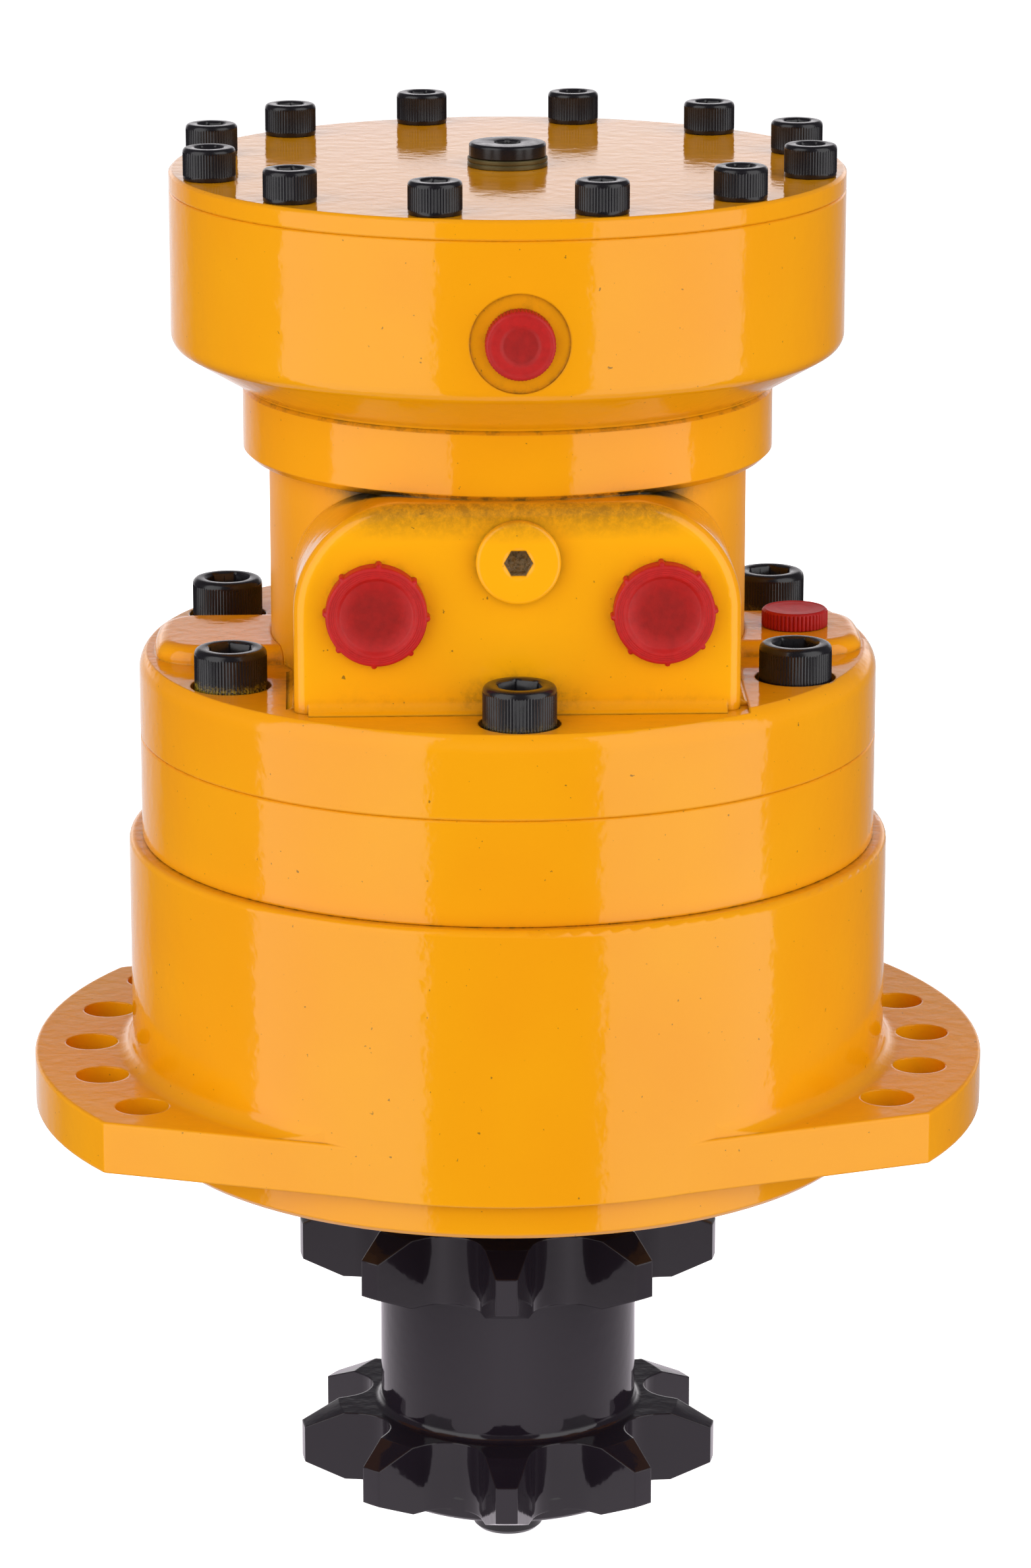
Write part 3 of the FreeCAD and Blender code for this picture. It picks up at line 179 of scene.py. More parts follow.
# ---------------------------------------------------------------- materials
def yellow_enamel(name, tone=rgba(0.825, 0.335, 0.0032)):
    t = Tree(name)
    t.set(IOR=1.40)
    # slight unevenness of the coat, then dirt specks everywhere; the recesses get painted shade, an olive film and
    # speckled grime by ambient occlusion
    soft = t.noise(22.0, 2.0)
    hue = t.mix(t.grey(soft, 0.35, 0.65), tone, rgba(tone[0] * 0.985, tone[1] * 0.93, tone[2]))
    xyz = t.node("ShaderNodeSeparateXYZ")
    t.link(t.coord.outputs["Object"], xyz.inputs["Vector"])
    # painted light: the milled port face is coloured lighter to make up for the light its surroundings block; the
    # cast neck gets a rougher coat
    port_face_light = t.math("MULTIPLY", t.grey(xyz.outputs["Y"], -0.0690, -0.0697), t.grey(t.math("ABSOLUTE", xyz.outputs["X"]), 0.0556, 0.0540))
    port_face_light = t.math("MULTIPLY", port_face_light, t.math("MULTIPLY", t.grey(xyz.outputs["Z"], 0.1185, 0.1215), t.grey(xyz.outputs["Z"], 0.1700, 0.1640)))
    hue = t.mix(port_face_light, hue, rgba(tone[0] * 1.10, tone[1] * 1.16, tone[2] * 1.3))
    radius = t.math("SQRT", t.math("ADD", t.math("MULTIPLY", xyz.outputs["X"], xyz.outputs["X"]), t.math("MULTIPLY", xyz.outputs["Y"], xyz.outputs["Y"])))
    neck = t.math("MULTIPLY", t.grey(radius, 0.0612, 0.0603), t.math("MULTIPLY", t.grey(xyz.outputs["Z"], 0.1175, 0.1190), t.grey(xyz.outputs["Z"], 0.1690, 0.1680)))
    t.link(t.grey(neck, 0.0, 1.0, 0.09, 0.36), t.bsdf.inputs["Roughness"])
    specks = t.grey(t.noise(620.0, 2.0, 0.6), 0.735, 0.76)
    ao = t.occlusion(0.012)
    # painted shade: where ambient occlusion is low, an olive film and speckled grime darken the coat
    recess_shade = t.grey(ao, 0.68, 0.26)
    grime_noise = t.grey(t.noise(300.0, 5.0, 0.75), 0.40, 0.60)
    grime_and_shade = t.math("MULTIPLY", recess_shade, grime_noise)
    shade_film = t.math("MULTIPLY", recess_shade, 0.30)
    dirt_and_shade = t.math("MAXIMUM", t.math("MULTIPLY", grime_and_shade, 0.85), shade_film)
    dirt_and_shade = t.math("MAXIMUM", dirt_and_shade, t.math("MULTIPLY", specks, 0.75))
    col = t.mix(dirt_and_shade, hue, rgba(0.150, 0.084, 0.012))
    # painted shadow: the pockets between the port block's round corners and the ring above them are coloured
    # near-black olive, deepest where ambient occlusion is strong
    wide = t.math("ABSOLUTE", t.math("SUBTRACT", t.math("ABSOLUTE", xyz.outputs["X"]), 0.036))
    ragged = t.math("MULTIPLY", t.math("SUBTRACT", t.noise(170.0, 4.0, 0.7), 0.5), 0.022)
    pocket_shade = t.math("MULTIPLY", t.grey(t.math("ADD", wide, ragged), 0.0115, 0.0075), t.grey(xyz.outputs["Z"], 0.1575, 0.1640))
    pocket_shade = t.math("MULTIPLY", pocket_shade, t.math("MULTIPLY", t.grey(xyz.outputs["Z"], 0.1720, 0.1695), t.grey(xyz.outputs["Y"], -0.040, -0.046)))
    pocket_shade = t.math("MULTIPLY", pocket_shade, t.grey(ao, 0.62, 0.40))
    col = t.mix(t.math("MULTIPLY", pocket_shade, 0.95), col, rgba(0.013, 0.011, 0.004))
    # painted shade: a speckled brown band on the port face, close under the ring's overhang, with some grime in it
    under_ring_shade = t.math("MULTIPLY", t.grey(xyz.outputs["Y"], -0.0660, -0.0680), t.grey(t.math("ABSOLUTE", xyz.outputs["X"]), 0.0440, 0.0340))
    under_ring_shade = t.math("MULTIPLY", under_ring_shade, t.math("MULTIPLY", t.grey(xyz.outputs["Z"], 0.1600, 0.1672), t.grey(xyz.outputs["Z"], 0.1700, 0.1692)))
    under_ring_shade = t.math("MULTIPLY", under_ring_shade, t.grey(t.noise(480.0, 5.0, 0.8), 0.36, 0.60, 0.35, 0.85))
    col = t.mix(under_ring_shade, col, rgba(0.270, 0.125, 0.010))
    # bare spot where the coat didn't reach, only on pieces that are marked for it
    soil_and_shade = t.node("ShaderNodeAttribute", attribute_name="soil_and_shade").outputs["Fac"]
    bare = t.math("MULTIPLY", soil_and_shade, t.grey(t.noise(900.0, 3.0, 0.7), 0.20, 0.60, 0.55, 1.0))
    col = t.mix(bare, col, t.mix(t.grey(t.noise(1600.0, 3.0, 0.7), 0.42, 0.60), rgba(0.36, 0.25, 0.13), rgba(0.15, 0.10, 0.045)))
    t.link(col, t.bsdf.inputs["Base Color"])
    # orange peel
    peel = t.noise(230.0, 2.0, 0.45)
    n = t.bump(peel, 0.10, 0.0009, t.bevel(0.0007))
    fine = t.noise(900.0, 2.0, 0.5)
    t.link(t.bump(fine, 0.05, 0.0003, n), t.bsdf.inputs["Normal"])
    return t.mat


def black_enamel(name):
    t = Tree(name)
    t.set(Roughness=0.08, IOR=1.5)
    t.bsdf.inputs["Base Color"].default_value = rgba(0.0115, 0.0080, 0.0125)
    peel = t.noise(210.0, 2.0, 0.5)
    n = t.bump(peel, 0.08, 0.0008, t.bevel(0.0006))
    t.link(n, t.bsdf.inputs["Normal"])
    return t.mat


def metal(name, colour, rough, metallic=1.0, grain=400.0, strength=0.06, spread=0.12, bevel=0.0003):
    t = Tree(name)
    t.set(Metallic=metallic, IOR=1.5)
    worn = t.noise(grain * 0.25, 4.0, 0.6)
    t.link(t.grey(worn, 0.3, 0.7, rough - spread / 2, rough + spread / 2), t.bsdf.inputs["Roughness"])
    dark = rgba(*[c * 0.72 for c in colour])
    t.link(t.mix(t.grey(worn, 0.35, 0.7), rgba(*colour), dark), t.bsdf.inputs["Base Color"])
    n = t.bump(t.noise(grain, 3.0, 0.6), strength, 0.0004, t.bevel(bevel))
    t.link(n, t.bsdf.inputs["Normal"])
    return t.mat


def oxide(name):
    """Black oxide on a knurled head: oily sheen, slight wear on the edges, overspray of the coat low down where it is marked."""
    t = Tree(name)
    t.set(IOR=1.5)
    worn = t.noise(420.0, 4.0, 0.65)
    t.link(t.grey(worn, 0.3, 0.7, 0.17, 0.30), t.bsdf.inputs["Roughness"])
    base = t.mix(t.grey(worn, 0.30, 0.72), rgba(0.0085, 0.0075, 0.0100), rgba(0.0035, 0.0030, 0.0040))
    geo = t.node("ShaderNodeNewGeometry")
    edge = t.grey(geo.outputs["Pointiness"], 0.56, 0.66)
    base = t.mix(t.math("MULTIPLY", edge, t.grey(t.noise(700.0, 3.0), 0.45, 0.6)), base, rgba(0.075, 0.072, 0.080))
    soil_and_shade = t.node("ShaderNodeAttribute", attribute_name="soil_and_shade").outputs["Fac"]
    xyz = t.node("ShaderNodeSeparateXYZ")
    t.link(t.coord.outputs["Object"], xyz.inputs["Vector"])
    ragged = t.math("MULTIPLY", t.noise(520.0, 4.0, 0.8), 0.0058)
    low = t.grey(t.math("ADD", xyz.outputs["Z"], ragged), 0.1222, 0.1200)
    spray = t.math("MULTIPLY", t.math("MULTIPLY", low, soil_and_shade), t.grey(t.noise(1500.0, 2.0, 0.7), 0.38, 0.55))
    base = t.mix(t.math("MULTIPLY", spray, 0.85), base, rgba(0.30, 0.20, 0.004))
    t.link(base, t.bsdf.inputs["Base Color"])
    n = t.bump(t.noise(900.0, 3.0, 0.6), 0.06, 0.0003, t.bevel(0.00022))
    t.link(n, t.bsdf.inputs["Normal"])
    return t.mat


def rubber(name):
    t = Tree(name)
    t.set(Roughness=0.5, IOR=1.48)
    t.bsdf.inputs["Base Color"].default_value = rgba(0.012, 0.012, 0.013)
    t.link(t.bump(t.noise(700.0, 3.0), 0.08, 0.0002), t.bsdf.inputs["Normal"])
    return t.mat


def red_plastic(name):
    """Soft moulded plastic; painted light and shade by the marked value: the rim is coloured brighter, the dished
    middle darker.
    """
    t = Tree(name)
    t.set(Roughness=0.45, IOR=1.38)
    t.bsdf.inputs["Subsurface Weight"].default_value = 0.08
    t.bsdf.inputs["Subsurface Radius"].default_value = (1.0, 0.1, 0.08)
    t.bsdf.inputs["Subsurface Scale"].default_value = 0.0010
    mottled = t.grey(t.noise(500.0, 4.0, 0.7), 0.35, 0.7)
    # painted light and shade: the per-vertex value colours the rim brighter red and the dished middle darker red
    rim = t.node("ShaderNodeAttribute", attribute_name="soil_and_shade").outputs["Fac"]
    inner = t.mix(mottled, rgba(0.330, 0.0065, 0.0042), rgba(0.245, 0.0050, 0.0034))
    outer = t.mix(mottled, rgba(0.500, 0.0080, 0.0070), rgba(0.410, 0.0066, 0.0058))
    t.link(t.mix(rim, inner, outer), t.bsdf.inputs["Base Color"])
    coarse = t.bump(t.noise(420.0, 3.0, 0.6), 0.10, 0.0005, t.bevel(0.00025))
    t.link(t.bump(t.noise(1300.0, 3.0, 0.6), 0.12, 0.0003, coarse), t.bsdf.inputs["Normal"])
    return t.mat


MATS = {
    "yellow_paint": yellow_enamel("enamel_yellow"),
    "black_paint": black_enamel("enamel_black"),
    "black_oxide_steel": oxide("black_oxide"),
    "machined_steel": metal("turned_steel", (0.46, 0.46, 0.48), 0.3),
    "bearing_steel": metal("ground_steel", (0.62, 0.62, 0.64), 0.18),
    "cast_iron": metal("iron_machined", (0.24, 0.24, 0.25), 0.45),
    "spring_steel": metal("spring_blued", (0.24, 0.26, 0.30), 0.3),
    "friction_lining": metal("sintered_lining", (0.24, 0.13, 0.07), 0.7, metallic=0.2),
    "nitrile_rubber": rubber("seal_rubber"),
    "bonded_washer": metal("zinc_olive", (0.13, 0.10, 0.035), 0.4, metallic=0.5),
    "red_plastic": red_plastic("cap_plastic"),
}

SLOT_OF = {}
for slot_name, names in {
    "yellow_paint": ["bearing_housing", "cam_ring", "valving_cover", "valving_cover_neck", "brake_housing", "brake_cover", "flushing_plug"],
    "black_paint": ["double_sprocket"],
    "black_oxide_steel": [
        "main_screws", "brake_cover_screws", "brake_release_plug", "sprocket_bolt", "sprocket_washer", "brake_housing_bolts",
    ],
    "cast_iron": ["distributor", "cylinder_block", "brake_piston"],
    "bonded_washer": ["brake_release_plug_seal", "flushing_plug_seal"],
    "red_plastic": ["port_cap_a", "port_cap_b", "brake_port_cap", "drain_port_cap"],
    "spring_steel": ["brake_spring", "distributor_springs"],
    "friction_lining": ["brake_friction_discs"],
    "nitrile_rubber": ["shaft_seal", "cam_ring_o_rings", "distributor_seals", "brake_o_rings", "brake_piston_seals"],
}.items():
    for n in names:
        SLOT_OF[n] = slot_name
for name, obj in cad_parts.items():
    slot_name = SLOT_OF.get(name)
    if slot_name is None:
        if "bearing" in name or "roller" in name:
            slot_name = "bearing_steel"
        else:
            slot_name = "machined_steel"
    obj.data.materials.clear()
    obj.data.materials.append(MATS[slot_name])


# ---------------------------------------------------------------- detailed pieces
def ring_mesh(rings, n, close_low=None, close_high=None):
    """Vertices and quads of a surface through rings. A ring is a list of n (x, y, z) points, in mm."""
    verts = [pt for ring in rings for pt in ring]
    faces = []
    for j in range(len(rings) - 1):
        a, b = j * n, (j + 1) * n
        for i in range(n):
            k = (i + 1) % n
            faces.append((a + i, a + k, b + k, b + i))
    if close_low is not None:
        verts.append(close_low)
        c = len(verts) - 1
        for i in range(n):
            faces.append((c, (i + 1) % n, i))
    if close_high is not None:
        verts.append(close_high)
        c = len(verts) - 1
        a = (len(rings) - 1) * n
        for i in range(n):
            faces.append((c, a + i, a + (i + 1) % n))
    return verts, faces


def circle(r, z, n):
    """Ring of radius r, a number or a function of the angle."""
    out = []
    for i in range(n):
        th = 2 * math.pi * i / n
        rr = r(th) if callable(r) else r
        out.append((rr * math.cos(th), rr * math.sin(th), z))
    return out


def hexa(af, turn):
    """Radius of a hexagon hole, across flats af, as a function of the angle."""
    t = math.radians(turn)

    def r(th):
        u = (th - t + math.pi / 6) % (math.pi / 3) - math.pi / 6
        return af / 2 / math.cos(u)

    return r


def ribs(radius, count, depth):
    def r(th):
        u = (th * count / (2 * math.pi)) % 1.0
        return radius - depth * (1 - abs(2 * u - 1))

    return r


def arc(r0, z0, rad, a0, a1, steps):
    """Points (r, z) of an arc about (r0, z0), angles in degrees from +r towards +z."""
    return [
        (r0 + rad * math.cos(math.radians(a0 + (a1 - a0) * i / steps)), z0 + rad * math.sin(math.radians(a0 + (a1 - a0) * i / steps)))
        for i in range(steps + 1)
    ]


def build(name, parts, materials, body, stands_for=(), sharp=32.0):
    """One object from parts: a list of (verts in mm, faces, material index, point attribute value)."""
    verts, faces, idx, extra = [], [], [], []
    for v, f, m, a in parts:
        base = len(verts)
        verts += [(x * MM, y * MM, z * MM) for x, y, z in v]
        extra += a if isinstance(a, list) else [a] * len(v)
        for q in f:
            faces.append(tuple(i + base for i in q))
            idx.append(m)
    me = bpy.data.meshes.new(name)
    me.from_pydata(verts, [], faces)
    for m in materials:
        me.materials.append(m)
    me.polygons.foreach_set("material_index", idx)
    bm = bmesh.new()
    bm.from_mesh(me)
    bmesh.ops.recalc_face_normals(bm, faces=bm.faces)
    limit = math.radians(sharp)
    for f in bm.faces:
        f.smooth = True
    for e in bm.edges:
        e.smooth = not (len(e.link_faces) == 2 and e.calc_face_angle(0.0) > limit)
    bm.to_mesh(me)
    bm.free()
    att = me.attributes.new("soil_and_shade", "FLOAT", "POINT")
    att.data.foreach_set("value", extra)
    o = bpy.data.objects.new(name, me)
    scene.collection.objects.link(o)
    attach(o, body)
    if stands_for:
        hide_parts(*stands_for)
    return o


def place(part, matrix):
    v, f, m, a = part
    return [tuple(matrix @ Vector(p)) for p in v], f, m, a


def screw(head_r, head_h, count, depth, rim, af, socket, shank_r, length, pitch, turn, n_per=4):
    """Socket head cap screw, knurled, head base at z=0."""
    n = count * n_per
    rings = []
    z = -length
    rings.append(circle(shank_r - 1.0, z, n))
    rings.append(circle(shank_r - 0.12, z + 0.9, n))
    z += 0.9
    while z < -6.0:
        rings.append(circle(shank_r - 0.05, z + 0.1 * pitch, n))
        rings.append(circle(shank_r - 0.6 * pitch, z + 0.5 * pitch, n))
        rings.append(circle(shank_r - 0.05, z + 0.9 * pitch, n))
        z += pitch
    rings.append(circle(shank_r, z, n))
    rings.append(circle(shank_r, 0.0, n))
    rings.append(circle(head_r - 0.45, 0.0, n))
    rings.append(circle(head_r - 0.15, 0.12, n))
    rings.append(circle(head_r - 0.04, 0.35, n))
    rings.append(circle(head_r - 0.04, 1.00, n))
    top = head_h - rim
    rings.append(circle(ribs(head_r, count, depth * 0.2), 1.10, n))
    rings.append(circle(ribs(head_r, count, depth), 1.35, n))
    rings.append(circle(ribs(head_r, count, depth), top - 0.45, n))
    rings.append(circle(ribs(head_r - 0.02, count, depth * 0.25), top - 0.12, n))
    for r, zz in arc(head_r - rim - 0.04, head_h - rim, rim, 0, 90, 7):
        rings.append(circle(r, zz, n))
    corner = af / math.sqrt(3)
    rings.append(circle(corner + 0.42, head_h, n))
    rings.append(circle(corner + 0.26, head_h - 0.05, n))
    hx = hexa(af, turn)
    rings.append(circle(lambda th: max(hx(th), min(corner + 0.02, hx(th) + 0.25)), head_h - 0.35, n))
    rings.append(circle(lambda th: hx(th), head_h - 0.75, n))
    rings.append(circle(lambda th: hx(th), head_h - socket, n))
    v, f = ring_mesh(rings, n, close_low=(0, 0, -length), close_high=(0, 0, head_h - socket - 0.9))
    return v, f, 0, 0.0


def polar(radius, deg):
    a = math.radians(deg)
    return radius * math.sin(a), -radius * math.cos(a)


black_oxide = MATS["black_oxide_steel"]
parts = []
for k in range(12):
    x, y = polar(76.3, 15 + 30 * k)
    parts.append(place(screw(6.5, 8.0, 60, 0.16, 0.95, 6.0, 4.0, 4.0, 25.0, 1.25, (17 * k) % 60), Matrix.Translation((x, y, 240.0))))
build("cover_screws", parts, [black_oxide], "housing", ("brake_cover_screws",))

parts = []
for deg, turn, sprayed in ((0, 8, 0.25), (60, 31, 0.0), (120, 54, 0.55), (180, 17, 0.0), (242.5, 40, 0.0), (300, 3, 1.0)):
    x, y = polar(80.6, deg)
    v, f, m, a = screw(9.0, 12.0, 72, 0.20, 1.45, 10.0, 6.0, 6.0, 80.0, 1.75, turn)
    parts.append(place((v, f, m, sprayed), Matrix.Translation((x, y, 115.2))))
build("flange_screws", parts, [black_oxide], "housing", ("main_screws",))


def turned_part(profile, n, low=None, high=None):
    return ring_mesh([circle(r, z, n) for r, z in profile], n, close_low=low, close_high=high)


# release plug: flanged head with a hexagon socket
def plug_part(n, head_r, z0, z1, rim, af, socket, stem_r, stem, turn, lip):
    rings = [circle(stem_r - 0.8, -stem, n), circle(stem_r, -stem + 0.8, n), circle(stem_r, z0, n), circle(head_r - 0.25, z0, n), circle(head_r, z0 + 0.25, n)]
    for r, z in arc(head_r - rim, z1 - rim, rim, 0, 90, 8):
        rings.append(circle(r, z, n))
    hx = hexa(af, turn)
    corner = af / math.sqrt(3)
    rings.append(circle(corner + lip, z1, n))
    rings.append(circle(lambda th: hx(th) * 0.35 + (corner + lip * 0.45) * 0.65, z1 - 0.12, n))
    rings.append(circle(lambda th: hx(th) + lip * 0.12, z1 - 0.45, n))
    rings.append(circle(hx, z1 - 0.9, n))
    rings.append(circle(hx, z1 - socket, n))
    return ring_mesh(rings, n, close_low=(0, 0, -stem), close_high=(0, 0, z1 - socket - 0.8))


v, f = plug_part(144, 9.6, 2.4, 5.9, 0.8, 6.0, 4.0, 7.0, 9.5, 0, 0.5)
build("release_plug", [place((v, f, 0, 0.0), Matrix.Translation((0, 0, 240.0)))], [black_oxide], "housing", ("brake_release_plug",))


# sealing ring under the plug: outer metal ring, rubber lip inside it, small step between its two edges
def closed_ring(profile, n):
    rings = [circle(r, z, n) for r, z in profile]
    rings.append(rings[0])
    v, f = ring_mesh(rings, n)
    # weld the last ring onto the first
    m = len(profile) * n
    f = [tuple(i - m if i >= m else i for i in q) for q in f]
    return v[:m], f


prof = [(7.15, 0.1), (7.5, 0.0), (9.8, 0.0), (9.98, 0.2), (9.98, 0.95), (9.8, 1.1), (9.72, 1.2), (9.8, 1.3), (9.96, 1.45), (9.96, 2.15), (9.75, 2.4), (7.5, 2.4), (7.15, 2.3)]
v, f = closed_ring(prof, 144)
build("plug_seal_ring", [place((v, f, 0, 0.0), Matrix.Translation((0, 0, 240.0)))], [MATS["bonded_washer"]], "housing", ("brake_release_plug_seal",))

FRONT = Matrix.Rotation(math.radians(90), 4, "X")      # local +Z towards -Y

v, f = plug_part(144, 10.2, 1.2, 4.1, 0.95, 6.0, 5.2, 7.0, 13.0, 30, 0.75)
marks = [1.0 if math.hypot(x, y) < 3.65 and z < 3.4 else 0.0 for x, y, z in v]
build("flushing_plug_painted", [place((v, f, 0, marks), Matrix.Translation((0, -70.0, 155.3)) @ FRONT)], [MATS["yellow_paint"]], "housing", ("flushing_plug",))


def port_cap(turn, n=576):
    """Cap with a raised ring, fine turned lines on it and eight ribs round its rim."""

    def rim(base, grow):
        def r(th):
            best = base
            for k in range(8):
                d = (th - math.radians(45 * k + turn) + math.pi) % (2 * math.pi) - math.pi
                c = 12.25 * math.sin(abs(d)) if abs(d) < 1 else 99
                if c < grow:
                    best = max(best, 12.25 * math.cos(d) + math.sqrt(grow * grow - c * c) - (12.3 - base) * 0.4)
            return best

        return r

    prof = [(9.6, -4.6), (10.9, -4.6), (11.3, -4.0), (11.3, 0.0)]
    rings = [circle(r, z, n) for r, z in prof]
    rings.append(circle(rim(12.1, 0.68), 0.0, n))
    rings.append(circle(rim(12.3, 0.74), 0.2, n))
    rings.append(circle(rim(12.3, 0.74), 3.6, n))
    rings.append(circle(rim(12.28, 0.62), 3.95, n))
    rings.append(circle(rim(12.18, 0.30), 4.25, n))
    rings.append(circle(12.02, 4.50, n))
    rings.append(circle(11.8, 4.62, n))
    z, r = 4.66, 11.6
    # four shallow turned lines
    for step in range(4):
        rings += [circle(r, z, n), circle(r - 0.28, z, n), circle(r - 0.38, z - 0.09, n)]
        r -= 0.48
    rings += [circle(9.62, 4.58, n), circle(9.3, 4.35, n), circle(8.9, 3.75, n), circle(8.5, 3.5, n), circle(5.0, 3.42, n)]
    v, f = ring_mesh(rings, n, close_high=(0, 0, 3.4))
    # inside of the cup, seen when the cap is pulled
    inner = [circle(9.6, -4.6, n), circle(9.5, 0.9, n), circle(9.2, 1.2, n)]
    v2, f2 = ring_mesh(inner, n, close_high=(0, 0, 1.2))
    return v, f, v2, f2


def radial_light_marks(v, r0, r1, low=0.0, high=1.0):
    """Value of each vertex by its distance from the part's own axis; it sets the caps' painted light and shade."""
    return [low + (high - low) * max(0.0, min(1.0, (math.hypot(x, y) - r0) / (r1 - r0))) for x, y, z in v]


def joined(v, f, v2, f2):
    """One shell: the second surface starts on the first one's first ring."""
    base = len(v)
    n = 0
    out = list(f)
    remap = {}
    first = {}
    for i, p in enumerate(v):
        first.setdefault((round(p[0], 6), round(p[1], 6), round(p[2], 6)), i)
    extra = []
    for i, p in enumerate(v2):
        key = (round(p[0], 6), round(p[1], 6), round(p[2], 6))
        if key in first:
            remap[i] = first[key]
        else:
            remap[i] = base + len(extra)
            extra.append(p)
    out += [tuple(remap[i] for i in q) for q in f2]
    return list(v) + extra, out


# painted light and shade on the port caps: the rim ring takes the brighter red, the dished middle the darker
for tag, x, turn in (("a", -34.2, -3.0), ("b", 35.2, 3.5)):
    v, f = joined(*port_cap(turn))
    build(
        f"cap_port_{tag}",
        [place((v, f, 0, radial_light_marks(v, 5.0, 9.6)), Matrix.Translation((x, -70.0, 142.5)) @ FRONT)],
        [MATS["red_plastic"]],
        f"port_cap_{tag}_body",
        (f"port_cap_{tag}",),
    )


def small_cap(count=60, per=6, dish=0.35, cut=0.26):
    n = count * per

    def saw(base, depth):
        def r(th):
            u = (th * count / (2 * math.pi)) % 1.0
            return base - depth * (1 - math.sin(math.pi * u)) ** 1.5

        return r

    rings = [circle(r, z, n) for r, z in ((5.4, -3.4), (6.8, -3.4), (7.15, -3.0), (7.15, 0.0), (8.0, 0.0))]
    rings.append(circle(saw(8.4, cut), 0.2, n))
    rings.append(circle(saw(8.4, cut), 3.75, n))
    rings.append(circle(saw(8.3, 0.12), 4.05, n))
    for r, z in ((8.02, 4.3), (7.82, 4.5), (7.62, 4.58), (7.45, 4.56), (7.3, 4.48), (6.6, 4.45), (5.2, 4.42), (4.7, 4.36), (4.3, 4.42 - dish * 0.8), (3.9, 4.42 - dish), (2.0, 4.42 - dish)):
        rings.append(circle(r, z, n))
    v, f = ring_mesh(rings, n, close_high=(0, 0, 4.42 - dish))
    inner = [circle(5.4, -3.4, n), circle(5.35, 0.9, n), circle(5.1, 1.2, n)]
    v2, f2 = ring_mesh(inner, n, close_high=(0, 0, 1.2))
    return joined(v, f, v2, f2)


v, f = small_cap()
# painted shade on the brake cap: the dished middle takes the darker red, the rim the brighter
build("cap_brake_port", [place((v, f, 0, radial_light_marks(v, 3.9, 5.2, 0.15, 0.75)), Matrix.Translation((0, -82.8, 210.6)) @ FRONT)], [MATS["red_plastic"]], "brake_port_cap_body", ("brake_port_cap",))
v, f = small_cap(count=48, per=8, dish=0.12, cut=0.42)
# painted light on the drain cap: the flat top takes the brighter red, the ribbed rim the darker, for its weak light
# from above
build("cap_drain_port", [place((v, f, 0, radial_light_marks(v, 6.8, 7.9, 1.00, 0.45)), Matrix.Translation((73.0, 0, 122.0)))], [MATS["red_plastic"]], "drain_port_cap_body", ("drain_port_cap",))


# ---------------------------------------------------------------- light, floor, surroundings
def softbox(name, centre, target, width, height, power):
    d = bpy.data.lights.new(name, "AREA")
    d.shape = "RECTANGLE"
    d.size, d.size_y = width, height
    d.energy = power
    o = bpy.data.objects.new(name, d)
    scene.collection.objects.link(o)
    o.location = centre
    o.rotation_mode = "QUATERNION"
    o.rotation_quaternion = (Vector(target) - Vector(centre)).to_track_quat("-Z", "Y")
    o.visible_camera = False
    return o


def around(deg, dist, z):
    """Point at an angle from the front (-Y), positive towards +X."""
    a = math.radians(deg)
    return (math.sin(a) * dist, -math.cos(a) * dist, z)


# radiance of an area light = power / (pi * area)
L = 1.62
W = 1.55
H = 3.8
for tag, deg in (("left", -54.0), ("right", 54.0)):
    softbox(f"softbox_{tag}", around(deg, 1.45, 0.30), (0, 0, 0.30), W, H, L * math.pi * W * H)

# broad fill from every side without a mirror image of its own
for fill_name, centre, wide, tall, radiance in (
    ("front_fill", (-0.05, -1.5, 0.62), 1.4, 1.0, 1.60),
    ("left_fill", around(-88.0, 1.5, 0.10), 1.2, 1.6, 1.00),
    ("right_fill", around(88.0, 1.5, 0.10), 1.2, 1.6, 0.95),
    ("top_fill", (0.0, -0.3, 2.2), 1.4, 1.4, 0.85),
    ("back_fill", (0.0, 1.5, 0.5), 1.4, 1.4, 1.10),
):
    fill = softbox(fill_name, centre, (0, 0, 0.10), wide, tall, radiance * math.pi * wide * tall)
    fill.visible_glossy = False

# surroundings: a pale warm wall behind the object up to about 28 degrees, dim elsewhere
world = bpy.data.worlds.new("studio")
scene.world = world
world.use_nodes = True
wt = world.node_tree
wt.nodes.clear()
w_out = wt.nodes.new("ShaderNodeOutputWorld")
w_bg = wt.nodes.new("ShaderNodeBackground")
w_dir = wt.nodes.new("ShaderNodeTexCoord")
w_xyz = wt.nodes.new("ShaderNodeSeparateXYZ")
wt.links.new(w_dir.outputs["Generated"], w_xyz.inputs["Vector"])


def step(value, a, b):
    m = wt.nodes.new("ShaderNodeMapRange")
    m.inputs["From Min"].default_value = a
    m.inputs["From Max"].default_value = b
    wt.links.new(value, m.inputs["Value"])
    return m.outputs["Result"]


def times(a, b):
    m = wt.nodes.new("ShaderNodeMath")
    m.operation = "MULTIPLY"
    wt.links.new(a, m.inputs[0])
    wt.links.new(b, m.inputs[1])
    return m.outputs["Value"]


def plus(a, b):
    m = wt.nodes.new("ShaderNodeMath")
    m.operation = "ADD"
    wt.links.new(a, m.inputs[0])
    wt.links.new(b, m.inputs[1])
    return m.outputs["Value"]


# upper part, seen in the flat tops: brightest low down, gone at 28 degrees
high = times(times(step(w_xyz.outputs["Y"], 0.74, 0.92), step(w_xyz.outputs["Z"], 0.37, 0.10)), step(w_xyz.outputs["Z"], -0.04, 0.04))
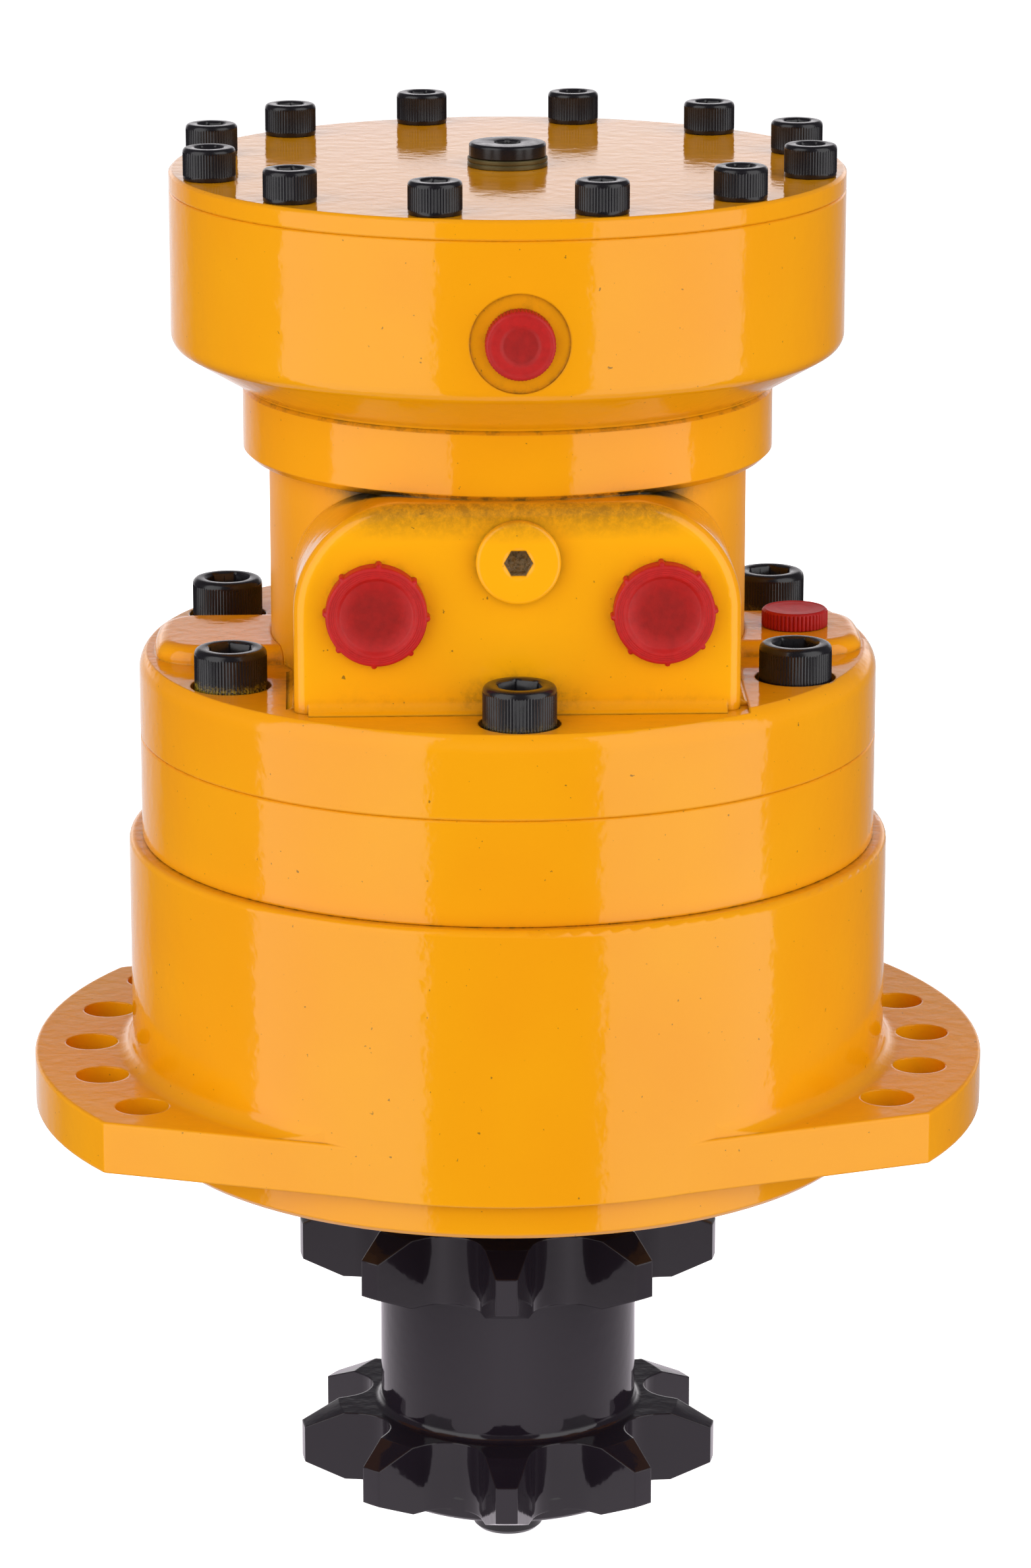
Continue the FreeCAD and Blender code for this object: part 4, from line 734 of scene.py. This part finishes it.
# lower part, seen only in the rims of the upright faces
low = times(times(step(w_xyz.outputs["Y"], 0.72, 0.97), step(w_xyz.outputs["Z"], 0.02, -0.04)), step(w_xyz.outputs["Z"], -0.60, -0.30))
low = times(low, step(w_xyz.outputs["X"], 0.75, -0.05))
w_half = wt.nodes.new("ShaderNodeMath")
w_half.operation = "MULTIPLY"
w_half.inputs[1].default_value = 0.6
wt.links.new(low, w_half.inputs[0])
wall = plus(high, w_half.outputs["Value"])
w_mix = wt.nodes.new("ShaderNodeMix")
w_mix.data_type = "RGBA"
col_in = [q for q in w_mix.inputs if q.type == "RGBA"]
fac_in = [q for q in w_mix.inputs if q.name == "Factor" and q.type == "VALUE"][0]
ground = wt.nodes.new("ShaderNodeMix")
ground.data_type = "RGBA"
g_col = [q for q in ground.inputs if q.type == "RGBA"]
g_col[0].default_value = rgba(0.13, 0.125, 0.14)
g_col[1].default_value = rgba(0.085, 0.080, 0.088)
wt.links.new(step(w_xyz.outputs["Z"], 0.02, -0.06), [q for q in ground.inputs if q.name == "Factor" and q.type == "VALUE"][0])
wt.links.new([q for q in ground.outputs if q.type == "RGBA"][0], col_in[0])
col_in[1].default_value = rgba(1.53, 1.48, 1.52)
wt.links.new(wall, fac_in)
wt.links.new([q for q in w_mix.outputs if q.type == "RGBA"][0], w_bg.inputs["Color"])
w_bg.inputs["Strength"].default_value = 1.0
wt.links.new(w_bg.outputs["Background"], w_out.inputs["Surface"])


def pale(name, strength, colour):
    m = bpy.data.materials.new(name)
    m.use_nodes = True
    p = m.node_tree.nodes["Principled BSDF"]
    p.inputs["Base Color"].default_value = rgba(0.9, 0.9, 0.9)
    p.inputs["Roughness"].default_value = 0.9
    p.inputs["Specular IOR Level"].default_value = 0.0
    p.inputs["Emission Color"].default_value = colour
    p.inputs["Emission Strength"].default_value = strength
    return m


me = bpy.data.meshes.new("studio_floor")
S = 14.0
Z_FLOOR = cad_box[0][2] - 0.0002
me.from_pydata([(-S, -S, Z_FLOOR), (S, -S, Z_FLOOR), (S, S, Z_FLOOR), (-S, S, Z_FLOOR)], [], [(0, 1, 2, 3)])
floor = bpy.data.objects.new("studio_floor", me)
scene.collection.objects.link(floor)
me.materials.append(pale("floor_pale", 0.97, rgba(1.0, 1.0, 1.0)))
floor.visible_glossy = False
floor.visible_diffuse = False
floor.visible_shadow = False

# turntable disc that the object's lower surfaces mirror
ring_pts = [(0.35 * math.cos(2 * math.pi * i / 64), 0.35 * math.sin(2 * math.pi * i / 64), Z_FLOOR - 0.0003) for i in range(64)]
me = bpy.data.meshes.new("turntable")
me.from_pydata(ring_pts, [], [tuple(range(64))])
disc = bpy.data.objects.new("turntable", me)
scene.collection.objects.link(disc)
dm = pale("turntable_pale", 0.95, rgba(1.0, 0.92, 1.0))
dm.node_tree.nodes["Principled BSDF"].inputs["Base Color"].default_value = rgba(0.0, 0.0, 0.0)
dx = dm.node_tree.nodes.new("ShaderNodeTexCoord")
dsep = dm.node_tree.nodes.new("ShaderNodeSeparateXYZ")
dm.node_tree.links.new(dx.outputs["Object"], dsep.inputs["Vector"])
dabs = dm.node_tree.nodes.new("ShaderNodeMath")
dabs.operation = "ABSOLUTE"
dm.node_tree.links.new(dsep.outputs["X"], dabs.inputs[0])
dmap = dm.node_tree.nodes.new("ShaderNodeMapRange")
for key, value in (("From Min", 0.03), ("From Max", 0.24), ("To Min", 0.95), ("To Max", 0.55)):
    dmap.inputs[key].default_value = value
dm.node_tree.links.new(dabs.outputs["Value"], dmap.inputs["Value"])
dm.node_tree.links.new(dmap.outputs["Result"], dm.node_tree.nodes["Principled BSDF"].inputs["Emission Strength"])
me.materials.append(dm)
disc.visible_camera = False
disc.visible_diffuse = False
disc.visible_shadow = False
